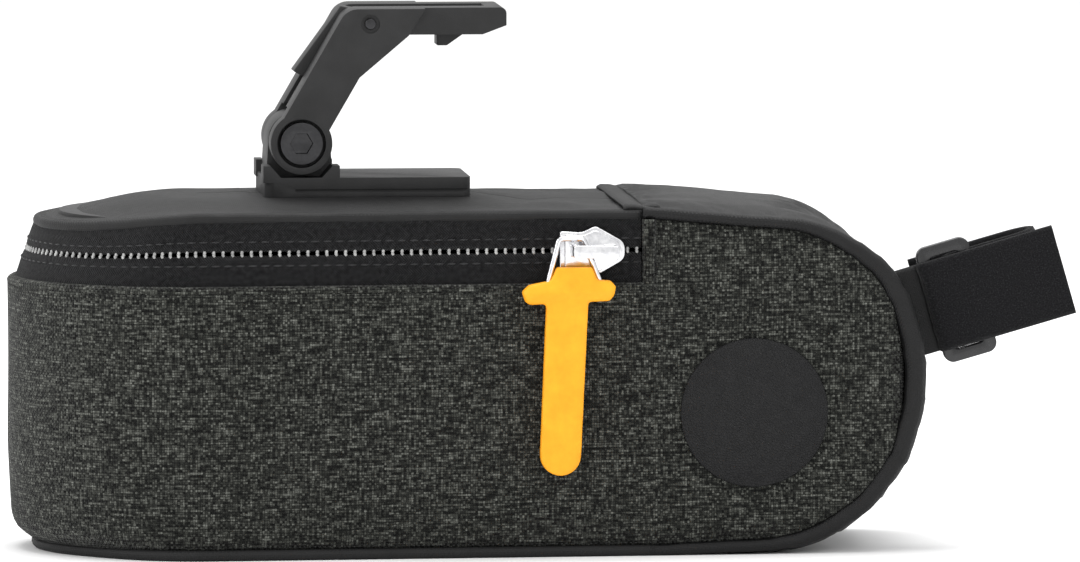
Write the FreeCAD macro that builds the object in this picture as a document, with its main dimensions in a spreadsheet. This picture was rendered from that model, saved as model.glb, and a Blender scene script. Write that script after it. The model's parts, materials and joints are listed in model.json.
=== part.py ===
"""Saddle bag with a hinged zip lid, a sliding saddle clip and a seat-post strap.

Millimetres. The origin is the centre of the flat bottom, +X points towards the seat post,
+Y to the far side and +Z up. The plan tapers from the rear wall to the nose.
"""
import FreeCAD
import Part
import Sketcher
import math
import os

from FreeCAD import Placement, Rotation, Vector
from types import SimpleNamespace

DRIVING_SIZES = (
    # bag body
    ("bag_length", 182, "rear wall to the roll over the nose"),
    ("bag_height", 70.2, "floor to the top of the front roll at the lid"),
    ("rear_width", 79, "width of the plan's corner points at the rear"),
    ("nose_width", 56, "width of the plan at the nose"),
    ("rear_flat", 7, "straight run across the rear between its two wide corners"),
    ("nose_corner", 5, "plan radius of the nose corners"),
    ("panel_wall", 3, "foam-backed side fabric"),
    ("lining_wall", 0.7, "lining fabric"),
    ("bottom_band", 2, "gusset under the side panel"),
    ("nose_band", 4, "gusset roll in front of the side panel"),
    ("top_band", 1.8, "gusset roll above the side panel"),
    ("upper_nose_radius", 26, "side view radius over the nose"),
    ("lower_nose_radius", 29, "side view radius under the nose"),
    ("heel_radius", 8, "side view radius under the rear wall"),
    ("nose_rise", 1.8, "rise of the bottom line at the nose"),
    ("nose_fall", 5, "fall of the top line at the nose"),
    ("rise_start", 40, "where the bottom line starts to rise"),
    ("board_wall", 1.2, "plastic boards in the bottom and the lid"),
    # zip and lid
    ("lid_line", 34, "where the lid meets the front roll"),
    ("hem_base", 53, "top of the side panel under the hem"),
    ("hem_roll", 1.8, "height of the folded hem"),
    ("hem_proud", 0.4, "how far the hem stands out"),
    ("hem_end", 2.2, "width of the hem at the zip's front end"),
    ("zip_line", 61.5, "height of the line where the zip closes"),
    ("tape_slit", 0.8, "slit between the two tapes"),
    ("tape_wall", 0.8, "zip tape"),
    ("tape_inset", 0.8, "zip tape behind the side panel's face"),
    ("coil_slit", 1, "gap between the two rows of coil"),
    ("coil_wide", 1.6, "height of each row of coil"),
    ("coil_deep", 1.4, "depth of each row of coil"),
    ("lid_edge", 68.1, "underside of the lid's edge"),
    ("lid_wall", 1.8, "lid at its edge"),
    ("lid_crown", 1.3, "padding above the lid's edge"),
    ("rear_lean", 4, "how far the zip leans in at the rear"),
    ("running_gap", 0.3, "clearance between pieces that move"),
    # slider and pull
    ("slider_back", 11.2, "slider's middle behind the lid's front line, zip closed"),
    ("slider_long", 14, "slider along the zip"),
    ("slider_high", 10, "slider across the zip"),
    ("slider_plate", 1.3, "each plate of the slider"),
    ("crown_rise", 3.6, "crown's inside above the outer plate"),
    ("wire_radius", 0.55, "bail wire"),
    ("pull_long", 42, "rubber pull"),
    ("pull_wide", 20, "crosspiece of the pull"),
    ("pull_stem", 8.8, "stem of the pull"),
    ("pull_thick", 3, "rubber of the pull"),
    # clip
    ("clip_rear", -41, "rear end of the clip's base plate"),
    ("clip_front", 0.5, "front end of the clip's base plate"),
    ("clip_wide", 27, "clip across the bag"),
    ("clip_plate", 3.9, "base plate of the clip"),
    ("pivot_x", -33.6, "pivot bolt"),
    ("pivot_z", 82, "pivot bolt"),
    ("elbow_x", -19.7, "elbow pin"),
    ("elbow_z", 106, "elbow pin"),
    ("boss_radius", 6.2, "arm round the pivot bolt"),
    ("arm_back", 5.6, "arm behind the line of its two axes"),
    ("arm_front", 3.5, "arm in front of that line"),
    ("tower_wide", 14, "base's tower between the arm's cheeks"),
    ("tongue_end", 8, "front end of the tongue"),
    ("tongue_thick", 5.4, "tongue that slides into the saddle mount"),
    ("tongue_wide", 20, "tongue across the bag"),
    ("latch_wide", 7, "latch inside the tongue"),
    ("thumb_rise", 1.7, "how far the release tail stands out at its end"),
    ("barb_drop", 2.6, "barb below the tongue"),
    ("bolt_radius", 2.5, "shank of the M5 pivot bolt"),
    ("bolt_head", 4.25, "radius of its cap head"),
    ("bolt_head_deep", 3, "height of its cap head"),
    ("hex_socket", 4, "key size of the bolt"),
    ("shaft_gap", 0.06, "radial running clearance of shafts"),
    ("pin_radius", 1.1, "elbow pin"),
    ("screw_radius", 2, "lid screws"),
    ("screw_head", 3.5, "radius of their heads"),
    ("screw_rear", -17, "rear lid screw"),
    ("screw_front", -5, "front lid screw"),
    # badge and strap
    ("badge_x", 56.1, "middle of the badge"),
    ("badge_z", 28.6, "middle of the badge"),
    ("badge_radius", 15, "badge"),
    ("badge_thick", 1.2, "badge"),
    ("strap_wide", 18.5, "webbing"),
    ("strap_thick", 1.5, "webbing"),
    ("strap_z", 50.2, "middle of the ring"),
    ("tab_y", -19, "near layer of the strap at the nose"),
    ("strap_gap", 1.6, "strap's ends in front of the nose"),
    ("ring_reach", 7, "middle of the ring in front of the nose"),
    ("ring_long", 11, "ring along the strap"),
    ("ring_high", 24, "ring across the strap"),
    ("ring_bar", 2.4, "thickness of the ring's bars"),
    ("loop_long", 19.2, "fold of the loop in front of the ring's middle"),
    ("loop_gap", 9, "inside of the flattened loop"),
    ("tail_long", 22.6, "free end of the strap in front of the ring's middle"),
    ("strap_tilt", 16, "degrees that the strap rises forwards"),
)


class Size:
    """A length that carries its number and the sheet formula that gives that number."""

    def __init__(self, number, formula):
        self.number = number
        self.formula = formula

    def __add__(self, other):
        other = as_size(other)
        return Size(self.number + other.number, f"({self.formula} + {other.formula})")

    def __radd__(self, other):
        return as_size(other) + self

    def __sub__(self, other):
        other = as_size(other)
        return Size(self.number - other.number, f"({self.formula} - {other.formula})")

    def __rsub__(self, other):
        return as_size(other) - self

    def __mul__(self, other):
        other = as_size(other)
        return Size(self.number * other.number, f"({self.formula} * {other.formula})")

    def __rmul__(self, other):
        return as_size(other) * self

    def __truediv__(self, other):
        other = as_size(other)
        return Size(self.number / other.number, f"({self.formula} / {other.formula})")

    def __neg__(self):
        return 0 - self


def as_size(value):
    if isinstance(value, Size):
        return value
    return Size(float(value), f"({float(value)})")


def arctan(slope):
    return Size(math.degrees(math.atan(slope.number)), f"atan({slope.formula})")


def make_sheet(doc):
    """Write the driving sizes into the sheet and give each one back by name."""
    sheet = doc.addObject("Spreadsheet::Sheet", "Sizes")
    named = SimpleNamespace()
    for row, (name, value, meaning) in enumerate(DRIVING_SIZES, start=1):
        sheet.set(f"A{row}", name)
        sheet.set(f"B{row}", str(value))
        sheet.set(f"C{row}", meaning)
        sheet.setAlias(f"B{row}", name)
        setattr(named, name, Size(float(value), f"Sizes.{name}"))
    doc.recompute()
    return named


doc = FreeCAD.newDocument("saddle_bag")
s = make_sheet(doc)
NODES = []


# ---------------------------------------------------------------- building blocks

def bind(thing, path, size):
    thing.setExpression(path, as_size(size).formula)


def node(thing, label):
    """Name a finished sub-part, which gives its file the same name."""
    thing.Label = label
    NODES.append(thing)
    return thing


def sketch_on(body, plane, offset=0):
    """A sketch on one of the body's own origin planes, moved along that plane's normal."""
    sketch = body.newObject("Sketcher::SketchObject", body.Name + "_sketch")
    support = next(f for f in body.Origin.OriginFeatures if f.Role == plane + "_Plane")
    sketch.AttachmentSupport = [(support, "")]
    sketch.MapMode = "FlatFace"
    bind(sketch, "AttachmentOffset.Base.z", offset)
    return sketch


def fix_point(sketch, item, place, across, up):
    """Hold one point of the sketch at sizes measured from its origin."""
    for kind, size in (("DistanceX", across), ("DistanceY", up)):
        size = as_size(size)
        index = sketch.addConstraint(Sketcher.Constraint(kind, -1, 1, item, place, size.number))
        bind(sketch, f"Constraints[{index}]", size)


def round_corner(before, here, after, radius):
    """Tangent points, centre and turning side of an arc in a corner."""
    back = (before - here).normalize()
    ahead = (after - here).normalize()
    half = back.getAngle(ahead) / 2
    reach = radius / math.tan(half)
    middle = (back + ahead).normalize() * (radius / math.sin(half))
    left_turn = back.cross(ahead).z < 0
    return here + back * reach, here + ahead * reach, here + middle, left_turn


def draw_outline(sketch, corners):
    """A closed outline through corners (across, up, radius); no radius means a sharp corner."""
    spots = [Vector(as_size(c[0]).number, as_size(c[1]).number, 0) for c in corners]
    radii = [as_size(c[2]) if len(c) > 2 else None for c in corners]
    count = len(corners)
    rounds = []
    for i, spot in enumerate(spots):
        if radii[i] is None:
            rounds.append((spot, spot, None, None))
        else:
            rounds.append(round_corner(spots[i - 1], spot, spots[(i + 1) % count], radii[i].number))
    lines = []
    for i in range(count):
        piece = Part.LineSegment(rounds[i][1], rounds[(i + 1) % count][0])
        lines.append(sketch.addGeometry(piece, False))
    for i in range(count):
        before = lines[i - 1]
        after = lines[i]
        if radii[i] is None:
            sketch.addConstraint(Sketcher.Constraint("Coincident", before, 2, after, 1))
            fix_point(sketch, after, 1, corners[i][0], corners[i][1])
            continue
        arrive, leave, centre, left_turn = rounds[i]
        first, last = (arrive, leave) if left_turn else (leave, arrive)
        start = math.atan2(first.y - centre.y, first.x - centre.x)
        stop = math.atan2(last.y - centre.y, last.x - centre.x)
        circle = Part.Circle(centre, Vector(0, 0, 1), radii[i].number)
        arc = sketch.addGeometry(Part.ArcOfCircle(circle, start, stop), False)
        arc_from, arc_to = (1, 2) if left_turn else (2, 1)
        sketch.addConstraint(Sketcher.Constraint("Tangent", before, 2, arc, arc_from))
        sketch.addConstraint(Sketcher.Constraint("Tangent", arc, arc_to, after, 1))
        index = sketch.addConstraint(Sketcher.Constraint("Radius", arc, radii[i].number))
        bind(sketch, f"Constraints[{index}]", radii[i])
        corner = sketch.addGeometry(Part.Point(spots[i]), True)
        sketch.addConstraint(Sketcher.Constraint("PointOnObject", corner, 1, before))
        sketch.addConstraint(Sketcher.Constraint("PointOnObject", corner, 1, after))
        fix_point(sketch, corner, 1, corners[i][0], corners[i][1])


def draw_circle(sketch, across, up, radius):
    middle = Vector(as_size(across).number, as_size(up).number, 0)
    radius = as_size(radius)
    item = sketch.addGeometry(Part.Circle(middle, Vector(0, 0, 1), radius.number), False)
    fix_point(sketch, item, 3, across, up)
    index = sketch.addConstraint(Sketcher.Constraint("Radius", item, radius.number))
    bind(sketch, f"Constraints[{index}]", radius)


def padded(name, plane, corners, length, offset=0, both_ways=False, circles=()):
    """A body padded from one outline, with round holes or as plain discs."""
    body = doc.addObject("PartDesign::Body", name)
    sketch = sketch_on(body, plane, offset)
    if corners:
        draw_outline(sketch, corners)
    for circle in circles:
        draw_circle(sketch, *circle)
    pad = body.newObject("PartDesign::Pad", name + "_pad")
    pad.Profile = sketch
    bind(pad, "Length", length)
    if both_ways:
        pad.SideType = "Symmetric"
    return body


def across(name, corners, width, circles=()):
    """A side-view outline padded equally to both sides of the bag."""
    return padded(name, "XZ", corners, width, both_ways=True, circles=circles)


def upright(name, corners, bottom, top, circles=()):
    """A plan outline padded from one height to another."""
    return padded(name, "XY", corners, as_size(top) - bottom, offset=bottom, circles=circles)


def cut(name, base, tool):
    result = doc.addObject("Part::Cut", name)
    result.Base = base
    result.Tool = tool
    return result


def common(name, *pieces):
    result = doc.addObject("Part::MultiCommon", name)
    result.Shapes = list(pieces)
    return result


def fuse(name, *pieces):
    result = doc.addObject("Part::MultiFuse", name)
    result.Shapes = list(pieces)
    return result


def box(name, low, high):
    """A box between two opposite corners given as sizes."""
    result = doc.addObject("Part::Box", name)
    for axis, side, near, far in zip("xyz", ("Length", "Width", "Height"), low, high):
        bind(result, side, as_size(far) - near)
        bind(result, f"Placement.Base.{axis}", near)
    return result


def rod(name, radius, length, start, turn=None):
    """A cylinder along +Z from its start, or turned: along +Y with turn "Y", along +X with "X"."""
    result = doc.addObject("Part::Cylinder", name)
    bind(result, "Radius", radius)
    bind(result, "Height", length)
    if turn == "Y":
        result.Placement = Placement(Vector(), Rotation(Vector(1, 0, 0), -90))
    if turn == "X":
        result.Placement = Placement(Vector(), Rotation(Vector(0, 1, 0), 90))
    for axis, place in zip("xyz", start):
        bind(result, f"Placement.Base.{axis}", place)
    return result


# ---------------------------------------------------------------- the bag's two outlines

rear = -s.bag_length / 2
nose = s.bag_length / 2
taper = (s.rear_width - s.nose_width) / 2 / s.bag_length
side_angle = arctan(taper)
WIDE = s.rear_width + 20
HIGH = s.bag_height + 60


def half_width(x):
    """Half the plan's width at x."""
    return s.rear_width / 2 - (x - rear) * taper


def plan(inset, lean=0):
    """Plan outline, moved in by an inset and, at the rear only, by a lean."""
    back = rear + inset + lean
    front = nose - inset
    round_rear = (s.rear_width - s.rear_flat) / 2 - inset
    round_nose = s.nose_corner
    return (
        (back, inset - half_width(back - inset), round_rear),
        (front, inset - half_width(front), round_nose),
        (front, half_width(front) - inset, round_nose),
        (back, half_width(back - inset) - inset, round_rear),
    )


def side_view(bottom, front, top, nose_radii, heel=None):
    """Side outline of the closed bag: bottom line, rounded nose, top line to the lid, then open above."""
    lower, upper = nose_radii
    end = rear - s.bottom_band
    heel_corner = (end, bottom) if heel is None else (rear, bottom, heel)
    return (
        heel_corner,
        (s.rise_start, bottom),
        (front, bottom + s.nose_rise, lower),
        (front, top - s.nose_fall, upper),
        (s.lid_line, top),
        (s.lid_line, HIGH),
        (end if heel is None else rear, HIGH),
    )


panel_front = nose - s.nose_band
panel_top = s.bag_height - s.top_band
panel_radii = (s.lower_nose_radius, s.upper_nose_radius)
gusset_radii = (s.lower_nose_radius + s.nose_band, s.upper_nose_radius + s.nose_band)
outer_view = side_view(as_size(0), nose, s.bag_height, gusset_radii, s.heel_radius)
panel_view = side_view(s.bottom_band, panel_front, panel_top, panel_radii)


def plan_wall(name, outside, inside, bottom, top, lean=0):
    """A wall that follows the plan between two insets."""
    outer = upright(name + "_outer", plan(outside, lean), bottom, top)
    inner = upright(name + "_inner", plan(inside, lean), bottom, top)
    return cut(name + "_wall", outer, inner)


# ---------------------------------------------------------------- bag body

def make_side_panel():
    """The near side, rear and far side in one wrapped wall, open towards the nose."""
    wall = plan_wall("panel", 0, s.panel_wall, s.bottom_band, s.bag_height)
    view = across("panel_view", panel_view, WIDE)
    heel = across("panel_heel", outer_view, WIDE)
    zip_gap = box("panel_zip_gap", (rear - s.bag_height, -WIDE, s.hem_base),
                  (s.lid_line + s.hem_end, WIDE, HIGH))
    node(cut("side_panel", common("panel_closed", wall, view, heel), zip_gap), "side_panel")


def make_gusset():
    """Bottom, nose and top front in one black band that wraps over the side panel's edges."""
    solid = across("gusset_outer", outer_view, WIDE)
    space = across("gusset_inner", panel_view, WIDE)
    plan_block = upright("gusset_plan", plan(0), 0, s.bag_height)
    band = cut("gusset_band", solid, space)
    node(common("gusset", band, plan_block), "gusset")


def make_lining():
    """A thin bag inside the walls, open under the lid."""
    depth = s.panel_wall
    deeper = depth + s.lining_wall
    view = side_view(s.bottom_band + s.lining_wall, panel_front - s.lining_wall,
                     panel_top - s.lining_wall, (s.lower_nose_radius - s.lining_wall,
                                                 s.upper_nose_radius - s.lining_wall))
    outside = common("lining_outside", upright("lining_plan", plan(depth), s.bottom_band, s.bag_height),
                     across("lining_view", panel_view, WIDE), across("lining_heel", outer_view, WIDE))
    inside = common("lining_inside", upright("lining_hollow_plan", plan(deeper), s.bottom_band, s.bag_height),
                    across("lining_hollow_view", view, WIDE))
    mouth = box("lining_mouth", (rear, -WIDE, s.hem_base), (s.lid_line + s.hem_end, WIDE, HIGH))
    node(cut("lining", cut("lining_shell", outside, inside), mouth), "lining")


def make_base_board():
    """A plastic board that keeps the bottom flat, loose on the lining."""
    floor = s.bottom_band + s.lining_wall
    inset = s.panel_wall + s.lining_wall + 1
    whole = upright("board_plan", plan(inset), floor, floor + s.board_wall)
    length = box("board_length", (rear + s.heel_radius, -WIDE, 0), (s.rise_start, WIDE, s.bag_height))
    node(common("base_board", whole, length), "base_board")


def make_hem():
    """The side panel's folded edge below the zip, turned up beside the zip's front end."""
    wall = plan_wall("hem", -s.hem_proud, s.panel_wall, s.hem_base, s.bag_height)
    top = s.hem_base + s.hem_roll
    turn = s.lid_line + s.hem_end
    view = across("hem_view", (
        (rear - s.bag_height, s.hem_base),
        (turn, s.hem_base),
        (turn, panel_top - s.hem_end),
        (s.lid_line, panel_top - s.hem_end),
        (s.lid_line, top),
        (rear - s.bag_height, top),
    ), WIDE)
    node(common("hem_roll", wall, view), "hem_roll")


# ---------------------------------------------------------------- zip

def leaning(name, inset):
    """A plan block that leans in at the rear from the hem to the lid's edge."""
    body = doc.addObject("PartDesign::Body", name)
    low = sketch_on(body, "XY", s.hem_base + s.hem_roll)
    draw_outline(low, plan(inset))
    high = sketch_on(body, "XY", s.lid_edge)
    draw_outline(high, plan(inset, s.rear_lean))
    loft = body.newObject("PartDesign::AdditiveLoft", name + "_loft")
    loft.Profile = low
    loft.Sections = [high]
    loft.Ruled = True
    return body


def zip_strip(label, outside, inside, bottom, top):
    """One U-shaped strip of the zip between two heights, behind the lid's front line."""
    shell = cut(label + "_shell", leaning(label + "_outer", outside), leaning(label + "_inner", inside))
    window = box(label + "_window", (rear - s.bag_height, -WIDE, bottom),
                 (s.lid_line - s.running_gap, WIDE, top))
    node(common(label, shell, window), label)


def make_zip():
    face = s.tape_inset
    back = face + s.tape_wall
    depth = back + s.coil_deep
    half_slit = s.tape_slit / 2
    half_gap = s.coil_slit / 2
    zip_strip("zip_tape_lower", face, back, s.hem_base + s.hem_roll, s.zip_line - half_slit)
    zip_strip("zip_tape_upper", face, back, s.zip_line + half_slit, s.lid_edge)
    zip_strip("zip_coil_lower", back, depth, s.zip_line - half_gap - s.coil_wide, s.zip_line - half_gap)
    zip_strip("zip_coil_upper", back, depth, s.zip_line + half_gap, s.zip_line + half_gap + s.coil_wide)


# ---------------------------------------------------------------- lid

def screw_holes(radius):
    return ((s.screw_rear, 0, radius), (s.screw_front, 0, radius))


def lid_front(name, piece):
    """Cut a lid piece off behind the front roll, with a running gap."""
    front = box(name + "_front", (s.lid_line - s.running_gap, -WIDE, 0), (nose + WIDE, WIDE, HIGH))
    return cut(name, piece, front)


def make_lid():
    """The coated lid: a flat edge with a padded crown inside it, and a rolled edge round it."""
    lid_top = s.lid_edge + s.lid_wall
    bore = s.screw_radius + s.shaft_gap
    flat = upright("lid_flat", plan(s.tape_inset, s.rear_lean), s.lid_edge, lid_top, screw_holes(bore))
    crown_inset = 3 * s.panel_wall
    crown = upright("lid_crown_block", plan(crown_inset, s.rear_lean), lid_top, lid_top + s.lid_crown,
                    screw_holes(bore))
    crown_end = box("lid_crown_end", (s.lid_line - crown_inset, -WIDE, 0), (nose + WIDE, WIDE, HIGH))
    whole = fuse("lid_whole", flat, cut("lid_crown_cut", crown, crown_end))
    node(lid_front("lid_panel", whole), "lid_panel")

    roll = plan_wall("lid_roll", -s.hem_proud, s.tape_inset, s.lid_edge, lid_top, s.rear_lean)
    node(lid_front("lid_piping", roll), "lid_piping")

    board_inset = s.panel_wall + s.coil_deep + s.board_wall
    board = upright("lid_board_plan", plan(board_inset, s.rear_lean), s.lid_edge - s.board_wall, s.lid_edge,
                    screw_holes(bore))
    board_end = box("lid_board_end", (s.lid_line - board_inset, -WIDE, 0), (nose + WIDE, WIDE, HIGH))
    node(cut("lid_board", board, board_end), "lid_board")


def make_backing():
    """Plate and screws that hold the clip through the lid."""
    top = s.lid_edge - s.board_wall
    bottom = top - s.board_wall
    half = s.clip_wide / 2
    edge = 2 * s.screw_head
    corners = (
        (s.screw_rear - edge, -half, s.screw_head),
        (s.screw_front + edge, -half, s.screw_head),
        (s.screw_front + edge, half, s.screw_head),
        (s.screw_rear - edge, half, s.screw_head),
    )
    node(upright("backing_plate", corners, bottom, top, screw_holes(s.screw_radius + s.shaft_gap)),
         "backing_plate")
    tip = s.lid_edge + s.lid_wall + s.lid_crown + s.clip_plate - s.board_wall
    screws = []
    for place, x in (("rear", s.screw_rear), ("front", s.screw_front)):
        shank = rod(f"screw_shank_{place}", s.screw_radius, tip - bottom, (x, 0, bottom))
        head = rod(f"screw_head_{place}", s.screw_head, s.screw_radius, (x, 0, bottom - s.screw_radius))
        screws.append(fuse(f"screw_{place}", shank, head))
    group = doc.addObject("Part::Compound", "lid_screws")
    group.Links = screws
    node(group, "lid_screws")


# ---------------------------------------------------------------- clip base

lid_top = s.lid_edge + s.lid_wall + s.lid_crown
plate_top = lid_top + s.clip_plate


def make_clip_base():
    """Base plate with a rounded rear end, a tower for the pivot bolt and four small lugs."""
    half = s.clip_wide / 2
    plate = upright("clip_plate", (
        (s.clip_rear, -half, s.screw_radius),
        (s.clip_front, -half, s.screw_radius),
        (s.clip_front, half, s.screw_radius),
        (s.clip_rear, half, s.screw_radius),
    ), lid_top, plate_top)
    threads = upright("clip_threads", (), lid_top, plate_top - s.board_wall,
                      screw_holes(s.screw_radius))
    tower_round = s.boss_radius - s.running_gap
    tower = across("clip_tower", (
        (s.pivot_x - tower_round - 1, lid_top),
        (s.pivot_x + tower_round + 1, lid_top),
        (s.pivot_x + tower_round, s.pivot_z + tower_round, tower_round - s.running_gap),
        (s.pivot_x - tower_round, s.pivot_z + tower_round, tower_round - s.running_gap),
    ), s.tower_wide)
    bore = across("clip_bore", (), WIDE, ((s.pivot_x, s.pivot_z, s.bolt_radius + s.shaft_gap),))
    lugs = []
    lug_high = s.board_wall * 2
    lug_long = s.board_wall * 3
    lug_thick = (s.clip_wide - s.tower_wide) / 2
    lug_tip = s.boss_radius + 1.5
    for end, tip, foot in (("rear", s.pivot_x - lug_tip, s.pivot_x - lug_tip + lug_long),
                           ("front", s.pivot_x + lug_tip, s.pivot_x + lug_tip - lug_long)):
        peak = tip * 0.6 + foot * 0.4
        shape = ((tip, plate_top - 1), (foot, plate_top - 1), (foot, plate_top),
                 (peak, plate_top + lug_high), (tip, plate_top + lug_high))
        for side, sign in (("near", 1), ("far", -1)):
            offset = sign * s.clip_wide / 2 - (lug_thick if sign > 0 else 0)
            lugs.append(padded(f"lug_{end}_{side}", "XZ", shape, lug_thick, offset=offset))
    trough = across("clip_trough", (), s.clip_wide + 2, ((s.pivot_x, s.pivot_z, s.boss_radius + s.running_gap),))
    solid = fuse("clip_base_solid", cut("clip_plate_drilled", plate, fuse("clip_plate_cuts", threads, trough)), tower,
                 *lugs)
    groove = box("clip_groove", (s.clip_rear + s.boss_radius, -half - 1, lid_top + 1),
                 (s.clip_front + 1, 0.6 - half, lid_top + 1.6))
    far_groove = box("clip_groove_far", (s.clip_rear + s.boss_radius, half - 0.6, lid_top + 1),
                     (s.clip_front + 1, half + 1, lid_top + 1.6))
    cuts = fuse("clip_base_cuts", bore, groove, far_groove)
    node(cut("clip_base", solid, cuts), "clip_base")


# ---------------------------------------------------------------- clip arm

lean_x = s.elbow_x - s.pivot_x
lean_z = s.elbow_z - s.pivot_z
arm_length = math.hypot(lean_x.number, lean_z.number)


def beside_arm(along, offset):
    """A point beside the arm: along is the share of the way from bolt to pin, offset is forwards."""
    reach = Size(arm_length, f"sqrt({(lean_x * lean_x + lean_z * lean_z).formula})")
    offset = as_size(offset)
    return (s.pivot_x + along * lean_x + offset * lean_z / reach,
            s.pivot_z + along * lean_z - offset * lean_x / reach)


tongue_bottom = s.elbow_z - s.tongue_thick / 2 + 0.3
tongue_top = tongue_bottom + s.tongue_thick


def at_height(offset, height):
    """Where a line beside the arm reaches a height."""
    x, z = beside_arm(as_size(0), offset)
    return x + (height - z) * lean_x / lean_z


def make_clip_arm():
    """Forked arm with a tongue that slides forwards into the mount under the saddle."""
    low_back = beside_arm(as_size(0), -s.arm_back)
    low_front = beside_arm(as_size(0), s.arm_front)
    web = s.board_wall * 7
    inner = at_height(s.arm_front, tongue_bottom)
    web_low = at_height(s.arm_front, tongue_bottom - web)
    nib = s.board_wall
    arm = across("arm_blade", (
        low_back,
        (at_height(-s.arm_back, tongue_top), tongue_top, 4),
        (inner + web, tongue_top),
        (inner + web * 0.6, tongue_bottom),
        (web_low, tongue_bottom - web),
        low_front,
    ), s.clip_wide)
    boss = across("arm_boss", (), s.clip_wide, ((s.pivot_x, s.pivot_z, s.boss_radius),))
    tongue = across("arm_tongue", (
        (s.elbow_x, tongue_bottom),
        (s.tongue_end - 4 * nib, tongue_bottom),
        (s.tongue_end, tongue_bottom + 1.5 * nib),
        (s.tongue_end, tongue_top, nib),
        (s.elbow_x, tongue_top),
    ), s.tongue_wide)
    solid = fuse("arm_solid", arm, boss, tongue)

    slot_half = s.tower_wide / 2 + s.running_gap
    slot_radius = s.boss_radius + 1.2
    tower_slot = across("arm_tower_slot", (), 2 * slot_half, ((s.pivot_x, s.pivot_z, slot_radius),))
    gap = s.latch_wide + 2 * s.running_gap
    latch_slot = across("arm_latch_slot", (
        beside_arm(as_size(0), 3 - s.arm_back),
        beside_arm(as_size(0), -s.arm_back - 3),
        (at_height(-s.arm_back - 3, tongue_top), tongue_top + 3),
        (s.tongue_end - 4, tongue_top + 3),
        (s.tongue_end - 4, tongue_bottom - 3),
        (s.elbow_x + 5, tongue_bottom - 3),
        (s.elbow_x - 1.2, s.elbow_z - 3.4),
    ), gap)
    half = s.clip_wide / 2
    recess_radius = s.bolt_head + 0.65
    recess_deep = s.bolt_head_deep - 0.4
    bore = across("arm_bore", (), WIDE, ((s.pivot_x, s.pivot_z, s.bolt_radius),))
    near_recess = rod("arm_recess_near", recess_radius, recess_deep + 1, (s.pivot_x, -half - 1, s.pivot_z), "Y")
    far_recess = rod("arm_recess_far", recess_radius, recess_deep + 1, (s.pivot_x, half - recess_deep, s.pivot_z),
                     "Y")
    pin_bore = across("arm_pin_bore", (), WIDE, ((s.elbow_x, s.elbow_z, s.pin_radius),))
    dimple = s.pin_radius + 0.8
    near_dimple = rod("arm_dimple_near", dimple, 1.5, (s.elbow_x, -half - 1, s.elbow_z), "Y")
    far_dimple = rod("arm_dimple_far", dimple, 1.5, (s.elbow_x, half - 0.5, s.elbow_z), "Y")
    holes = fuse("arm_holes", tower_slot, latch_slot, bore, near_recess, far_recess, pin_bore,
                 near_dimple, far_dimple)
    node(cut("clip_arm", solid, holes), "clip_arm")


def make_pivot():
    """M5 cap bolt from the near side, plain washers beside the tower and a nut on the far side."""
    half = s.clip_wide / 2
    seat = half - (s.bolt_head_deep - 0.4)
    shank = rod("bolt_shank", s.bolt_radius, 2 * seat + 2.4, (s.pivot_x, -seat, s.pivot_z), "Y")
    head = rod("bolt_cap", s.bolt_head, s.bolt_head_deep, (s.pivot_x, -seat - s.bolt_head_deep, s.pivot_z), "Y")
    socket = hexagon("bolt_socket", s.hex_socket, s.bolt_head_deep - 1, -seat - s.bolt_head_deep)
    node(cut("pivot_bolt", fuse("bolt_solid", shank, head), socket), "pivot_bolt")
    nut_body = hexagon("nut_hex", 8, s.bolt_head_deep - 0.6, seat)
    nut_bore = rod("nut_bore", s.bolt_radius, s.bolt_head_deep, (s.pivot_x, seat, s.pivot_z), "Y")
    node(cut("pivot_nut", nut_body, nut_bore), "pivot_nut")


def hexagon(name, key_size, length, start):
    """A hexagonal prism along +Y round the pivot axis."""
    prism = doc.addObject("Part::Prism", name)
    prism.Polygon = 6
    bind(prism, "Circumradius", as_size(key_size) / math.sqrt(3))
    bind(prism, "Height", length)
    prism.Placement = Placement(Vector(), Rotation(Vector(1, 0, 0), -90))
    for axis, place in zip("xyz", (s.pivot_x, start, s.pivot_z)):
        bind(prism, f"Placement.Base.{axis}", place)
    return prism


def make_latch():
    """Bell crank on the elbow pin: a barb under the tongue and a release tail down the arm's back."""
    bar_bottom = tongue_bottom + 0.2
    catch = as_size(-5.5)
    barb_tip = tongue_bottom - s.barb_drop
    bar = across("latch_bar", (
        (s.elbow_x, bar_bottom),
        (catch, bar_bottom),
        (catch, barb_tip),
        (catch + 2, barb_tip),
        (catch + 6, bar_bottom),
        (catch + 6, bar_bottom + 1.4),
        (s.elbow_x, bar_bottom + 1.4),
    ), s.latch_wide)
    hub = across("latch_hub", (), s.latch_wide, ((s.elbow_x, s.elbow_z, 2.4),))
    outside = -s.arm_back - 0.5
    tail_top = beside_arm(as_size(1), outside)
    tail_low = beside_arm(as_size(0.42), outside - s.thumb_rise)
    tail_inner = beside_arm(as_size(0.42), outside + 1.6)
    tail_knee = beside_arm(as_size(0.86), outside + 1.6)
    tail = across("latch_tail", (
        tail_low,
        tail_inner,
        tail_knee,
        (s.elbow_x, s.elbow_z - 2),
        (s.elbow_x, s.elbow_z + 2),
        tail_top,
    ), s.latch_wide)
    bore = across("latch_bore", (), WIDE, ((s.elbow_x, s.elbow_z, s.pin_radius + s.shaft_gap),))
    node(cut("latch", fuse("latch_solid", bar, hub, tail), bore), "latch")
    pin = rod("elbow_pin", s.pin_radius, s.tongue_wide + 7.4,
              (s.elbow_x, -s.tongue_wide / 2 - 3.7, s.elbow_z), "Y")
    node(pin, "elbow_pin")


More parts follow.
